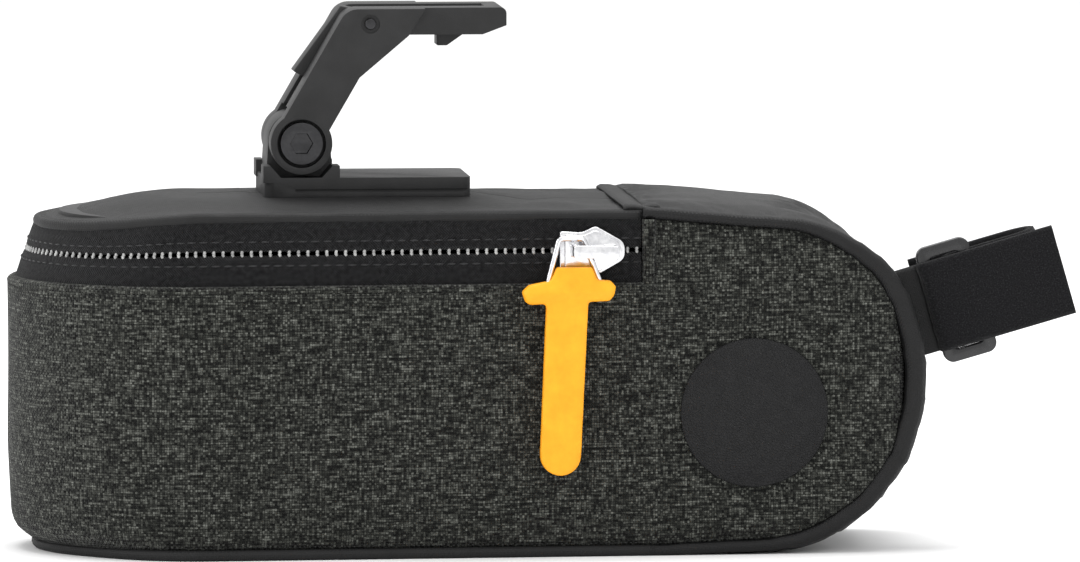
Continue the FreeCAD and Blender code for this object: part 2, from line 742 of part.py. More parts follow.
def make_latch_spring():
    """Small coil spring between the release tail and the arm."""
    start = beside_arm(as_size(0.55), 1.5 - s.arm_back)
    spring = doc.addObject("Part::Helix", "spring_path")
    spring.Radius = 1.3
    spring.Pitch = 0.9
    spring.Height = 2.7
    spring.LocalCoord = 0
    wire = doc.addObject("Part::Circle", "spring_wire")
    wire.Radius = 0.22
    wire.Placement = Placement(Vector(1.3, 0, 0), Rotation(Vector(1, 0, 0), 90))
    sweep = doc.addObject("Part::Sweep", "latch_spring")
    sweep.Sections = [wire]
    sweep.Spine = (spring, ["Edge1"])
    sweep.Solid = True
    sweep.Frenet = True
    turn = math.degrees(math.atan2(lean_z.number, -lean_x.number))
    sweep.Placement = Placement(Vector(), Rotation(Vector(0, 1, 0), turn))
    bind(sweep, "Placement.Base.x", start[0])
    bind(sweep, "Placement.Base.z", start[1])
    node(sweep, "latch_spring")


# ---------------------------------------------------------------- zip slider and pull

slider_place = s.lid_line - s.slider_back


def on_slider(piece):
    """Place a piece made round the slider's own origin, which lies on the side panel's face."""
    piece.Placement = Placement(Vector(), Rotation(Vector(0, 0, 1), side_angle.number))
    bind(piece, "Placement.Rotation.Angle", side_angle)
    bind(piece, "Placement.Base.x", slider_place)
    bind(piece, "Placement.Base.y", -half_width(slider_place))
    bind(piece, "Placement.Base.z", s.zip_line)
    return piece


outer_face = s.tape_inset - s.running_gap - s.slider_plate
coil_back = s.tape_inset + s.tape_wall + s.coil_deep
crown_under = outer_face - s.slider_plate - s.crown_rise
wire_y = outer_face - s.slider_plate - s.pull_thick / 2 - s.running_gap


def slider_outline(share=1):
    """Beaked plate: a straight neck, widest where the coil comes in, then a blunt tip."""
    half = s.slider_long / 2 * share
    high = s.slider_high / 2 * share
    return (
        (-half * 0.88, -high * 0.8, 0.5),
        (-half * 0.25, -high * 0.74, 3),
        (half * 0.16, -high, 1.5),
        (half, -high * 0.34, 2.2),
        (half, high * 0.34, 2.2),
        (half * 0.16, high, 1.5),
        (-half * 0.25, high * 0.74, 3),
        (-half * 0.88, high * 0.8, 0.5),
    )


def facing(name, corners, nearest, farthest, circles=()):
    """A piece seen square on to the side, between two depths; depth grows into the bag."""
    return padded(name, "XZ", corners, farthest - nearest, offset=-farthest, circles=circles)


def make_slider():
    """Two plates joined by a thin wedge that passes through the slit, and a crown over the bail."""
    outer = facing("slider_outer", slider_outline(), outer_face, outer_face + s.slider_plate)
    inner = facing("slider_inner", slider_outline(), coil_back + s.running_gap,
                   coil_back + s.running_gap + s.slider_plate * 0.8)
    wedge_half = s.tape_slit / 4
    wedge = box("slider_wedge", (s.slider_long / 5, outer_face + 0.5, -wedge_half),
                (s.slider_long / 2 - 0.6, coil_back + s.running_gap + 0.5, wedge_half))
    node(on_slider(fuse("slider_body", outer, inner, wedge)), "slider_body")

    cap_face = outer_face - s.slider_plate
    cover = facing("cap_cover", slider_outline(0.86), cap_face, outer_face)
    crown = facing("cap_crown", (
        (-4.2, -1, 0.5),
        (5, -1.3, 0.5),
        (5, 1.3, 0.5),
        (-4.2, 1.5, 0.5),
    ), crown_under - s.wire_radius * 2, cap_face)
    opening = box("cap_opening", (-3, crown_under, -3), (2.6, cap_face, 3))
    cap = fuse("cap_solid", cover, cut("cap_arch", crown, opening))
    pocket = box("cap_pocket", (2.8, crown_under, -0.6), (4.4, outer_face, 0.6))
    node(on_slider(cut("slider_crown", cap, pocket)), "slider_crown")
    leaf = box("lock_spring_leaf", (3, crown_under + 0.1, -0.45), (4.2, outer_face - 0.1, 0.45))
    node(on_slider(common("lock_spring", leaf)), "lock_spring")


BAIL = ((-6.8, 2.75), (-1.9, 2.75), (1.9, -7), (-9.3, -7))


def rounded_wire(points, radius, depth):
    """A closed wire in the plane that faces the side, with an arc in every corner."""
    spots = [Vector(x, z, 0) for x, z in points]
    edges = []
    ends = [round_corner(spots[i - 1], spot, spots[(i + 1) % len(spots)], radius)
            for i, spot in enumerate(spots)]

    def stand(v):
        return Vector(v.x, depth, v.y)

    for i, (arrive, leave, centre, turn) in enumerate(ends):
        inward = (spots[i] - centre).normalize() * radius
        edges.append(Part.Arc(stand(arrive), stand(centre + inward), stand(leave)).toShape())
        following = ends[(i + 1) % len(ends)][0]
        edges.append(Part.LineSegment(stand(leave), stand(following)).toShape())
    return Part.Wire(edges)


def make_pull():
    """Wire bail whose front leg passes under the crown, and the rubber pull moulded on it."""
    path = rounded_wire(BAIL, 1.2, wire_y.number)
    start = path.Edges[1].valueAt(path.Edges[1].FirstParameter)
    along = path.Edges[1].tangentAt(path.Edges[1].FirstParameter)
    edges = path.Edges[1:] + path.Edges[:1]
    profile = Part.Wire([Part.Circle(start, along, s.wire_radius.number).toShape()])
    bail = doc.addObject("Part::Feature", "pull_wire")
    bail.Shape = Part.Wire(edges).makePipeShell([profile], True, False)
    node(on_slider(bail), "pull_wire")

    half = s.pull_wide / 2
    middle = as_size(-5.3)
    top = as_size(-4.7)
    wing = as_size(5.2)
    hump = as_size(1.8)
    nearest = wire_y - s.pull_thick / 2
    farthest = wire_y + s.pull_thick / 2
    wings = facing("pull_wings", (
        (middle - half, top - wing, 1.6),
        (middle + half, top - wing, 1.6),
        (middle + half, top, 1.6),
        (middle + half / 3, top),
        (middle + half / 4, top + hump),
        (middle - half / 4, top + hump),
        (middle - half / 3, top),
        (middle - half, top, 1.6),
    ), nearest, farthest)
    bottom = top + hump - s.pull_long
    slant = 0.9
    round_end = s.pull_stem / 2 - 0.3
    stem_half = s.pull_stem / 2
    stem = facing("pull_stem_blank", (
        (middle - stem_half - slant, bottom, round_end),
        (middle + stem_half - slant, bottom, round_end),
        (middle + stem_half, top - wing + 1),
        (middle - stem_half, top - wing + 1),
    ), nearest, farthest)
    solid = fuse("pull_solid", wings, stem)
    tool = doc.addObject("Part::Feature", "pull_wire_tool")
    tool.Shape = bail.Shape
    tool.Placement = Placement()
    node(on_slider(cut("pull_tab", solid, tool)), "pull_tab")


# ---------------------------------------------------------------- badge and strap

def make_badge():
    """Round patch on the near side, slightly domed."""
    body = doc.addObject("PartDesign::Body", "badge")
    sketch = sketch_on(body, "XZ")
    rim = s.badge_thick / 2
    draw_outline(sketch, (
        (0, 0),
        (s.badge_radius, 0),
        (s.badge_radius, rim),
        (s.badge_radius * 0.7, s.badge_thick),
        (0, s.badge_thick),
    ))
    turned = body.newObject("PartDesign::Revolution", "badge_turned")
    turned.Profile = sketch
    turned.ReferenceAxis = (sketch, ["V_Axis"])
    turned.Angle = 360
    facing_side = Rotation(Vector(0, 0, 1), side_angle.number) * Rotation(Vector(1, 0, 0), 90)
    body.Placement = Placement(Vector(), facing_side)
    bind(body, "Placement.Base.x", s.badge_x)
    bind(body, "Placement.Base.y", -half_width(s.badge_x) - 0.02)
    bind(body, "Placement.Base.z", s.badge_z)
    node(body, "badge")


def on_strap(piece):
    """Tilt a strap piece made round the middle of the ring, so that it rises forwards."""
    piece.Placement = Placement(Vector(), Rotation(Vector(0, -1, 0), s.strap_tilt.number))
    bind(piece, "Placement.Rotation.Angle", s.strap_tilt)
    bind(piece, "Placement.Base.x", nose + s.ring_reach)
    bind(piece, "Placement.Base.y", s.tab_y)
    bind(piece, "Placement.Base.z", s.strap_z)
    return piece


def clear_of_nose(name, piece):
    """Trim a strap layer in front of the nose, with room for the strap to swing."""
    view = side_view(-s.strap_gap, nose + s.strap_gap, s.bag_height + s.strap_gap, gusset_radii)
    return cut(name, piece, across(name + "_nose", view, WIDE))


def make_strap():
    """Tab, ring and the long hook-and-loop strap, laid flat as it is without a post."""
    half = s.strap_wide / 2
    thick = s.strap_thick
    long = s.ring_long / 2
    high = s.ring_high / 2
    start = -s.ring_long * 2
    blank = box("tab_blank", (start, -thick / 2, -half), (-long - s.running_gap, thick / 2, half))
    node(clear_of_nose("strap_tab", on_strap(common("tab_tilted", blank))), "strap_tab")

    frame = facing("ring_frame", (
        (-long, -high, 2),
        (long, -high, 2),
        (long, high, 2),
        (-long, high, 2),
    ), -s.ring_bar / 2, s.ring_bar / 2)
    hollow = facing("ring_hollow", (
        (s.ring_bar - long, s.ring_bar - high, 1),
        (long - s.ring_bar, s.ring_bar - high, 1),
        (long - s.ring_bar, high - s.ring_bar, 1),
        (s.ring_bar - long, high - s.ring_bar, 1),
    ), -s.ring_bar, s.ring_bar)
    node(on_strap(cut("strap_ring", frame, hollow)), "strap_ring")

    outer = -s.ring_bar / 2 - s.running_gap
    inner = s.ring_bar / 2 + s.running_gap
    fold = s.loop_gap / 2 + thick
    front = s.loop_long
    skin = fold - 0.1
    block = upright("loop_outer", (
        (start, inner),
        (front, inner, skin),
        (front, inner + 2 * fold, skin),
        (start, inner + 2 * fold),
    ), -half, half)
    hollow = upright("loop_inner", (
        (start - 1, inner + thick),
        (front - thick, inner + thick, skin - thick),
        (front - thick, inner + 2 * fold - thick, skin - thick),
        (start - 1, inner + 2 * fold - thick),
    ), -half, half)
    short = box("loop_short", (start - 1, inner - 1, -s.strap_wide), (-thick / 2, inner + thick, s.strap_wide))
    through = box("loop_through", (-thick / 2, outer - thick, -half), (thick / 2, inner + thick, half))
    free = box("loop_tail", (-long - s.running_gap, outer - thick, -half), (s.tail_long, outer, half))
    folded = cut("loop_folded", cut("loop_walls", block, hollow), short)
    loop = on_strap(fuse("loop_tilted", folded, through, free))
    node(clear_of_nose("strap_loop", loop), "strap_loop")


# ---------------------------------------------------------------- build, check and write

make_side_panel()
make_gusset()
make_lining()
make_base_board()
make_hem()
make_zip()
make_lid()
make_backing()
make_clip_base()
make_clip_arm()
make_pivot()
make_latch()
make_latch_spring()
make_slider()
make_pull()
make_badge()
make_strap()
doc.recompute()

for thing in doc.Objects:
    if "Invalid" in thing.State or "Error" in thing.State:
        raise RuntimeError(f"{thing.Name} is {thing.State}")
for thing in NODES:
    if thing.Shape.isNull() or not thing.Shape.isValid():
        raise RuntimeError(f"{thing.Label} has no valid shape")

os.makedirs("parts", exist_ok=True)
for thing in NODES:
    thing.Shape.exportStep(f"parts/{thing.Label}.step")
    print(f"{thing.Label}: {thing.Shape.Volume:.1f} mm3, {len(thing.Shape.Solids)} solids")
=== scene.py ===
# %% [markdown]
# # A saddle bag, dressed in Blender
# The bag's hard parts, joints and sizes come packed from its CAD model, and this lesson adds what
# CAD leaves plain: sewn fabric, a zip with its stitching, webbing, rubber and plastic that look
# like what they are. Everything is in metres in the same frame: +X towards the seat post, +Y to
# the far side, +Z up, with the origin in the middle of the flat bottom.

# %% Load the frame
import bpy
import bmesh
import json
import math
import numpy as np
from mathutils import Vector, noise
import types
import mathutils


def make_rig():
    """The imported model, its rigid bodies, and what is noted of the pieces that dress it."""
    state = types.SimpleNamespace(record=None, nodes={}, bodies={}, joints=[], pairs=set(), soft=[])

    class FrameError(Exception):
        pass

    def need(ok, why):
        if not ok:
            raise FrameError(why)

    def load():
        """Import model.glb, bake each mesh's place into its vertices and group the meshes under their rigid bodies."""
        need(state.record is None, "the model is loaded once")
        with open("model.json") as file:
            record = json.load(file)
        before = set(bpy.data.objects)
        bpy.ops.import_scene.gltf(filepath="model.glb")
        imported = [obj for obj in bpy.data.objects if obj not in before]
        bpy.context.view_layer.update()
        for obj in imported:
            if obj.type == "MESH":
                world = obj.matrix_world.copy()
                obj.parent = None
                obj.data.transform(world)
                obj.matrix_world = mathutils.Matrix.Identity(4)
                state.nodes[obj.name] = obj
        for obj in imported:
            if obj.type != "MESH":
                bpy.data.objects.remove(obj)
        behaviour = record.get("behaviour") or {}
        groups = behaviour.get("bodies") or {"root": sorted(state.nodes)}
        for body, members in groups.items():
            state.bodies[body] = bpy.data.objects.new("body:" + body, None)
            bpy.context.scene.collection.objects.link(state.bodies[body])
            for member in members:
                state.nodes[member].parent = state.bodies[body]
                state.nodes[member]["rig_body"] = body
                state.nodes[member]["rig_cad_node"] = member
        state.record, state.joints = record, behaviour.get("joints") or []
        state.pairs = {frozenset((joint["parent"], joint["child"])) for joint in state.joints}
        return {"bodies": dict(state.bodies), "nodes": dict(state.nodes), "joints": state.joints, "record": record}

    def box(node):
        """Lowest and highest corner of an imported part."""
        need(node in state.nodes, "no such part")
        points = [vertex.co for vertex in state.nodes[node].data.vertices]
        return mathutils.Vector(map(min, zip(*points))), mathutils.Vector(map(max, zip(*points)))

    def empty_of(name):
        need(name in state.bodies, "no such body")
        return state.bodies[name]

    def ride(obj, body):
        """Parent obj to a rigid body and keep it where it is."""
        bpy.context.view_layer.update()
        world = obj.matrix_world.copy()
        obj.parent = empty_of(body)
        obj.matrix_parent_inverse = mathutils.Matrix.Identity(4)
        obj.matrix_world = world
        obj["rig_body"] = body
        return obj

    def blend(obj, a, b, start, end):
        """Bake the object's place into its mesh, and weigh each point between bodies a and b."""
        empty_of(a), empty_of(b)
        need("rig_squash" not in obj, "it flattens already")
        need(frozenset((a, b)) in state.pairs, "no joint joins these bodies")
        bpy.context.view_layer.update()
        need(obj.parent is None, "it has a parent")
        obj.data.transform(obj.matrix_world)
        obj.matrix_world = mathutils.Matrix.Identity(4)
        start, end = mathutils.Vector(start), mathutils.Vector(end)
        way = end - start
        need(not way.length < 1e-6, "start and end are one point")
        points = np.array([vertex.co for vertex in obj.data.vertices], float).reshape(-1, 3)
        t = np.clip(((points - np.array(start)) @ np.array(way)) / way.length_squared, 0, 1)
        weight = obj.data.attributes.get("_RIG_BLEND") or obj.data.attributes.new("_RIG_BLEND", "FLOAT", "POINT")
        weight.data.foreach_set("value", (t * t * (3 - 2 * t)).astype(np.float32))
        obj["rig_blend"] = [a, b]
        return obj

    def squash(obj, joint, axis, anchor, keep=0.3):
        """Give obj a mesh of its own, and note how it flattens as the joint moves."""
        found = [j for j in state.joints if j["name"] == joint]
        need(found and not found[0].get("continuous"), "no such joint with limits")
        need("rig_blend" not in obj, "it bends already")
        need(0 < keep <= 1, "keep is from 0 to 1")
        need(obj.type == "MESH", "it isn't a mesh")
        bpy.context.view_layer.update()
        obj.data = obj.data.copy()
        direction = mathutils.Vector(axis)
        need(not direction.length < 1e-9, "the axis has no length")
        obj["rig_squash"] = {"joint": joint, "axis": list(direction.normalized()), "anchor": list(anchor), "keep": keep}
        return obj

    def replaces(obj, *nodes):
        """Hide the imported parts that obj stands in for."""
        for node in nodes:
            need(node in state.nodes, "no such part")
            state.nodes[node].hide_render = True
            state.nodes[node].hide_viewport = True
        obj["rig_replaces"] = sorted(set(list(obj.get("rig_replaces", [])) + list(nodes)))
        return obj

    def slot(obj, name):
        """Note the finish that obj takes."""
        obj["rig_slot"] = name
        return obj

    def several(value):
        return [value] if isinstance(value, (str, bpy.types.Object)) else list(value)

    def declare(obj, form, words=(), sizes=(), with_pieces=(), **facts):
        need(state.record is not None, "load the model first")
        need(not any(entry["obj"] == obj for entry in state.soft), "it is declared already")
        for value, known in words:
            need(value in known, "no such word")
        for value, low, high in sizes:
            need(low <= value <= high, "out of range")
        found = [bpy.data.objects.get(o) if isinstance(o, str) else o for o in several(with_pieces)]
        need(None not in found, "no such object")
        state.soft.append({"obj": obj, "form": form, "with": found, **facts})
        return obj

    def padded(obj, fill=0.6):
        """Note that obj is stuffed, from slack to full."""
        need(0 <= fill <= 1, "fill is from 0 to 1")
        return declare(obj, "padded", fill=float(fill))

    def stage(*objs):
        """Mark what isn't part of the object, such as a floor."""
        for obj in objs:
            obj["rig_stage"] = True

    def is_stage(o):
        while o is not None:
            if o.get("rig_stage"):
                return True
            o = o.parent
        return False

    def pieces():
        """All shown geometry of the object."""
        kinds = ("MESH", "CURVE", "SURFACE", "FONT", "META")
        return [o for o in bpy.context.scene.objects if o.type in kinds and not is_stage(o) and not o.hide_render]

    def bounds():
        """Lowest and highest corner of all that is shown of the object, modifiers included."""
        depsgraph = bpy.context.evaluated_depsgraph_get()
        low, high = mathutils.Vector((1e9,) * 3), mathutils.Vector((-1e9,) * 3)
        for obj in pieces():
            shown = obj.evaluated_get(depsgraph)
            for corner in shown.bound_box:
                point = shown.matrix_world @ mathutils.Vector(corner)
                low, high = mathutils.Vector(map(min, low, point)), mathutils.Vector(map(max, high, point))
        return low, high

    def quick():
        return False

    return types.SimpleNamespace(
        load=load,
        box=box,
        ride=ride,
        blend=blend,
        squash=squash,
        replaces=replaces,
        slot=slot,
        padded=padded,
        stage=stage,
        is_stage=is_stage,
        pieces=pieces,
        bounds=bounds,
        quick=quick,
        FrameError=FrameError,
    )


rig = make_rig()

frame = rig.load()
cad_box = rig.bounds()
MM = 0.001
print("nodes:", len(frame["nodes"]), "box:", [[round(v, 4) for v in corner] for corner in cad_box])

# %% [markdown]
# ## The bag's two outlines
# A sewn bag is drawn by two pattern outlines. Seen from above it is a U: straight sides that
# narrow towards the nose, joined round the rear by two wide arcs. Seen from the side it is a loaf
# with a rounded nose. Both are worked out here once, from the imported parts' boxes and the
# pattern's radii, and every fabric piece is laid along them.

# %% Measure the frame and state the pattern
panel_low, panel_high = [Vector(c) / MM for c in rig.box("side_panel")]
gusset_low, gusset_high = [Vector(c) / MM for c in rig.box("gusset")]
hem_low, hem_high = [Vector(c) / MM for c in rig.box("hem_roll")]
lid_low, lid_high = [Vector(c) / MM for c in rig.box("lid_panel")]
tape_low, tape_high = [Vector(c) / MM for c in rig.box("zip_tape_lower")]
upper_low, upper_high = [Vector(c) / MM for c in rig.box("zip_tape_upper")]

REAR = panel_low.x
NOSE = gusset_high.x
PANEL_FRONT = panel_high.x
HEM_Z = hem_low.z
HEM_END = hem_high.x
LID_LINE = lid_high.x
LID_EDGE = lid_low.z
ZIP_LINE = (tape_high.z + upper_low.z) / 2
REAR_HALF = 39.5
NOSE_HALF = 28.0
REAR_RADIUS = 36.0
REAR_LEAN = 3.6
TAPER = (REAR_HALF - NOSE_HALF) / (NOSE - REAR)
print("rear", round(REAR, 2), "nose", round(NOSE, 2), "zip line", round(ZIP_LINE, 2), "hem", round(HEM_Z, 2))

# %% Curves of the pattern
def smooth(low, high, x):
    """Ease from 0 at low to 1 at high."""
    t = min(max((x - low) / (high - low), 0.0), 1.0)
    return t * t * (3 - 2 * t)


def half_width(x):
    """Half the plan's width at x, along the straight sides."""
    return REAR_HALF - (x - REAR) * TAPER


def rounded(corners, step=0.8):
    """Points along a line whose corners (across, up, radius) are rounded."""
    spots = [Vector((c[0], c[1])) for c in corners]
    points = [spots[0]]
    for i in range(1, len(corners) - 1):
        here = spots[i]
        radius = corners[i][2]
        if radius == 0:
            points.append(here)
            continue
        back = (spots[i - 1] - here).normalized()
        ahead = (spots[i + 1] - here).normalized()
        half = back.angle(ahead) / 2
        centre = here + (back + ahead).normalized() * (radius / math.sin(half))
        start = here + back * (radius / math.tan(half)) - centre
        turn = start.angle_signed(here + ahead * (radius / math.tan(half)) - centre)
        count = max(3, int(abs(turn) * radius / step))
        for k in range(count + 1):
            angle = -turn * k / count
            c, s = math.cos(angle), math.sin(angle)
            points.append(centre + Vector((start.x * c - start.y * s, start.x * s + start.y * c)))
    points.append(spots[-1])
    return points


def resample(points, step):
    """The same line with evenly spaced points."""
    xy = np.array([tuple(p) for p in points])
    run = np.concatenate([[0], np.cumsum(np.linalg.norm(np.diff(xy, axis=0), axis=1))])
    count = max(2, int(round(run[-1] / step)))
    marks = np.linspace(0, run[-1], count + 1)
    return np.column_stack([np.interp(marks, run, xy[:, i]) for i in range(xy.shape[1])]), marks


def outward(line, left=True):
    """Unit normals of a plane line, on its left or its right."""
    along = np.gradient(line, axis=0)
    along /= np.linalg.norm(along, axis=1)[:, None]
    normal = np.column_stack([-along[:, 1], along[:, 0]])
    return normal if left else -normal


def plan_line(front, step=1.6):
    """The U from the near front, round the rear, to the far front, with outward normals and runs."""
    corners = (
        (front, -half_width(front), 0),
        (REAR, -REAR_HALF, REAR_RADIUS),
        (REAR, REAR_HALF, REAR_RADIUS),
        (front, half_width(front), 0),
    )
    line, run = resample(rounded(corners), step)
    return line, outward(line, left=True), run


def leaned(line, amount):
    """Move the rear of the U forwards, as the zip band leans in there."""
    out = line.copy()
    for point in out:
        point[0] += amount * smooth(-54, -78, point[0])
    return out


test_line, test_normal, test_run = plan_line(PANEL_FRONT)
print("U is", round(test_run[-1], 1), "mm long; normal at the rear", np.round(test_normal[len(test_normal) // 2], 2))

# %% Side outlines of the panel and of the gusset round it
BOTTOM_BAND = panel_low.z
TOP_BAND = 1.8
NOSE_BAND = NOSE - PANEL_FRONT
TOP_Z = gusset_high.z
RISE_START = 40.0
NOSE_RISE = 1.8
NOSE_FALL = 5.0
LOWER_RADIUS = 29.0
UPPER_RADIUS = 26.0


def side_outline(bottom, front, top, grow):
    """From under the rear, round the nose, to the lid's front line."""
    return rounded((
        (REAR, bottom, 0),
        (RISE_START, bottom, 0),
        (front, bottom + NOSE_RISE, LOWER_RADIUS + grow),
        (front, top - NOSE_FALL, UPPER_RADIUS + grow),
        (LID_LINE, top, 0),
    ))


panel_outline = np.array([tuple(p) for p in side_outline(BOTTOM_BAND, PANEL_FRONT, TOP_Z - TOP_BAND, 0)])
gusset_outline, gusset_run = resample(side_outline(0, NOSE, TOP_Z, NOSE_BAND), 1.2)
tip = int(np.argmax(panel_outline[:, 0] - 0.001 * np.abs(panel_outline[:, 1] - 34)))
lower_half = panel_outline[:tip + 1]
upper_half = panel_outline[tip:][::-1]


def panel_bottom(x):
    return float(np.interp(x, lower_half[:, 0], lower_half[:, 1]))


def panel_top(x):
    return float(np.interp(x, upper_half[:, 0], upper_half[:, 1]))


print("panel at x=60:", round(panel_bottom(60), 2), "to", round(panel_top(60), 2))

# %% [markdown]
# ## Mesh helpers
# Sewn pieces are grids of points: one direction follows a seam, the other crosses the cloth.
# Each grid keeps its own flat pattern coordinates in millimetres as UVs, so that a weave is as
# large on every piece as it is on the real cloth and runs along it, as cut cloth does.

# %% Grid, solid and finishing helpers
collection = bpy.context.scene.collection


def new_object(name, mesh, material, body, slot=None):
    """Put a mesh in the scene, smooth, with its material, riding on its body."""
    piece = bpy.data.objects.new(name, mesh)
    collection.objects.link(piece)
    for polygon in mesh.polygons:
        polygon.use_smooth = True
    if material is not None:
        mesh.materials.append(material)
    if body is not None:
        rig.ride(piece, body)
    if slot is not None:
        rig.slot(piece, slot)
    return piece


def grid_mesh(name, points, uv, wrap=False):
    """A mesh from points[row][column] in millimetres, with uv[row][column] in millimetres."""
    points = np.asarray(points, float)
    rows, columns = points.shape[:2]
    verts = (points.reshape(-1, 3) * MM).tolist()
    faces = []
    corners = []
    last = columns if wrap else columns - 1
    for r in range(rows - 1):
        for c in range(last):
            d = (c + 1) % columns
            faces.append((r * columns + c, r * columns + d, (r + 1) * columns + d, (r + 1) * columns + c))
            corners.append(((r, c), (r, c + 1), (r + 1, c + 1), (r + 1, c)))
    mesh = bpy.data.meshes.new(name)
    mesh.from_pydata(verts, [], faces)
    layer = mesh.uv_layers.new(name="pattern")
    uv = np.asarray(uv, float)
    if wrap:
        uv = np.concatenate([uv, uv[:, :1] + (uv[:, -1:] - uv[:, -2:-1])], axis=1)
    flat = []
    for polygon in corners:
        for r, c in polygon:
            flat.extend((uv[r, c, 0], uv[r, c, 1]))
    layer.data.foreach_set("uv", flat)
    mesh.update()
    return mesh


def tube(name, path, radius, material, body, sides=10, closed=False, slot=None, flatten=1.0, uv_scale=1.0):
    """A round or flattened tube along points in millimetres; flatten squeezes it along its normal."""
    path = np.asarray(path, float)
    count = len(path)
    radius = np.broadcast_to(np.asarray(radius, float), (count,))
    if closed:
        along = np.roll(path, -1, axis=0) - np.roll(path, 1, axis=0)
    else:
        along = np.gradient(path, axis=0)
    along /= np.linalg.norm(along, axis=1)[:, None]
    guide = np.array([0.0, 0.0, 1.0])
    if abs(along[0] @ guide) > 0.9:
        guide = np.array([0.0, 1.0, 0.0])
    points = []
    uv = []
    run = 0.0
    side = np.cross(along[0], guide)
    for i in range(count):
        side = side - along[i] * (side @ along[i])
        side /= np.linalg.norm(side)
        up = np.cross(side, along[i])
        if i:
            run += float(np.linalg.norm(path[i] - path[i - 1]))
        ring = []
        mark = []
        for k in range(sides):
            angle = 2 * math.pi * k / sides
            ring.append(path[i] + radius[i] * (math.cos(angle) * up + flatten * math.sin(angle) * side))
            mark.append((run * uv_scale, k / sides * 2 * math.pi * radius[i] * uv_scale))
        points.append(ring)
        uv.append(mark)
    if closed:
        points.append(points[0])
        uv.append([(run + 1, m[1]) for m in uv[0]])
    mesh = grid_mesh(name, points, uv, wrap=True)
    if not closed:
        cap_ends(mesh)
    return new_object(name, mesh, material, body, slot)


def cap_ends(mesh):
    """Close the two open ends of a tube."""
    work = bmesh.new()
    work.from_mesh(mesh)
    edges = [e for e in work.edges if e.is_boundary]
    bmesh.ops.holes_fill(work, edges=edges, sides=0)
    work.to_mesh(mesh)
    work.free()


def modify(piece, kind, **values):
    """Add a modifier and apply it at once, so that the mesh holds the real shape."""
    modifier = piece.modifiers.new(kind.lower(), kind)
    for key, value in values.items():
        setattr(modifier, key, value)
    settle(piece)
    return piece


def settle(piece):
    """Turn the evaluated shape, with every modifier, into the piece's own mesh."""
    graph = bpy.context.evaluated_depsgraph_get()
    mesh = bpy.data.meshes.new_from_object(piece.evaluated_get(graph))
    piece.modifiers.clear()
    old = piece.data
    piece.data = mesh
    bpy.data.meshes.remove(old)
    for polygon in piece.data.polygons:
        polygon.use_smooth = True


def face_out(mesh, middle=(0, 0, 0.035)):
    """Turn a sheet's faces so that they look away from the middle of the bag."""
    middle = Vector(middle)
    if sum(p.normal.dot(p.center - middle) * p.area for p in mesh.polygons) < 0:
        mesh.flip_normals()


def thicken(piece, thickness):
    """Give a sheet its cloth thickness inwards."""
    face_out(piece.data)
    return modify(piece, "SOLIDIFY", thickness=thickness * MM, offset=-1.0, use_even_offset=False)


def stand(piece):
    """Keep a piece from sinking into the floor."""
    for vertex in piece.data.vertices:
        vertex.co.z = max(vertex.co.z, 0.0)


def ripple(x, y, z=0.0, seed=0.0):
    """Smooth noise between about -1 and 1."""
    return noise.noise(Vector((x, y, z + 17.3 * seed)))


print("helpers ready")
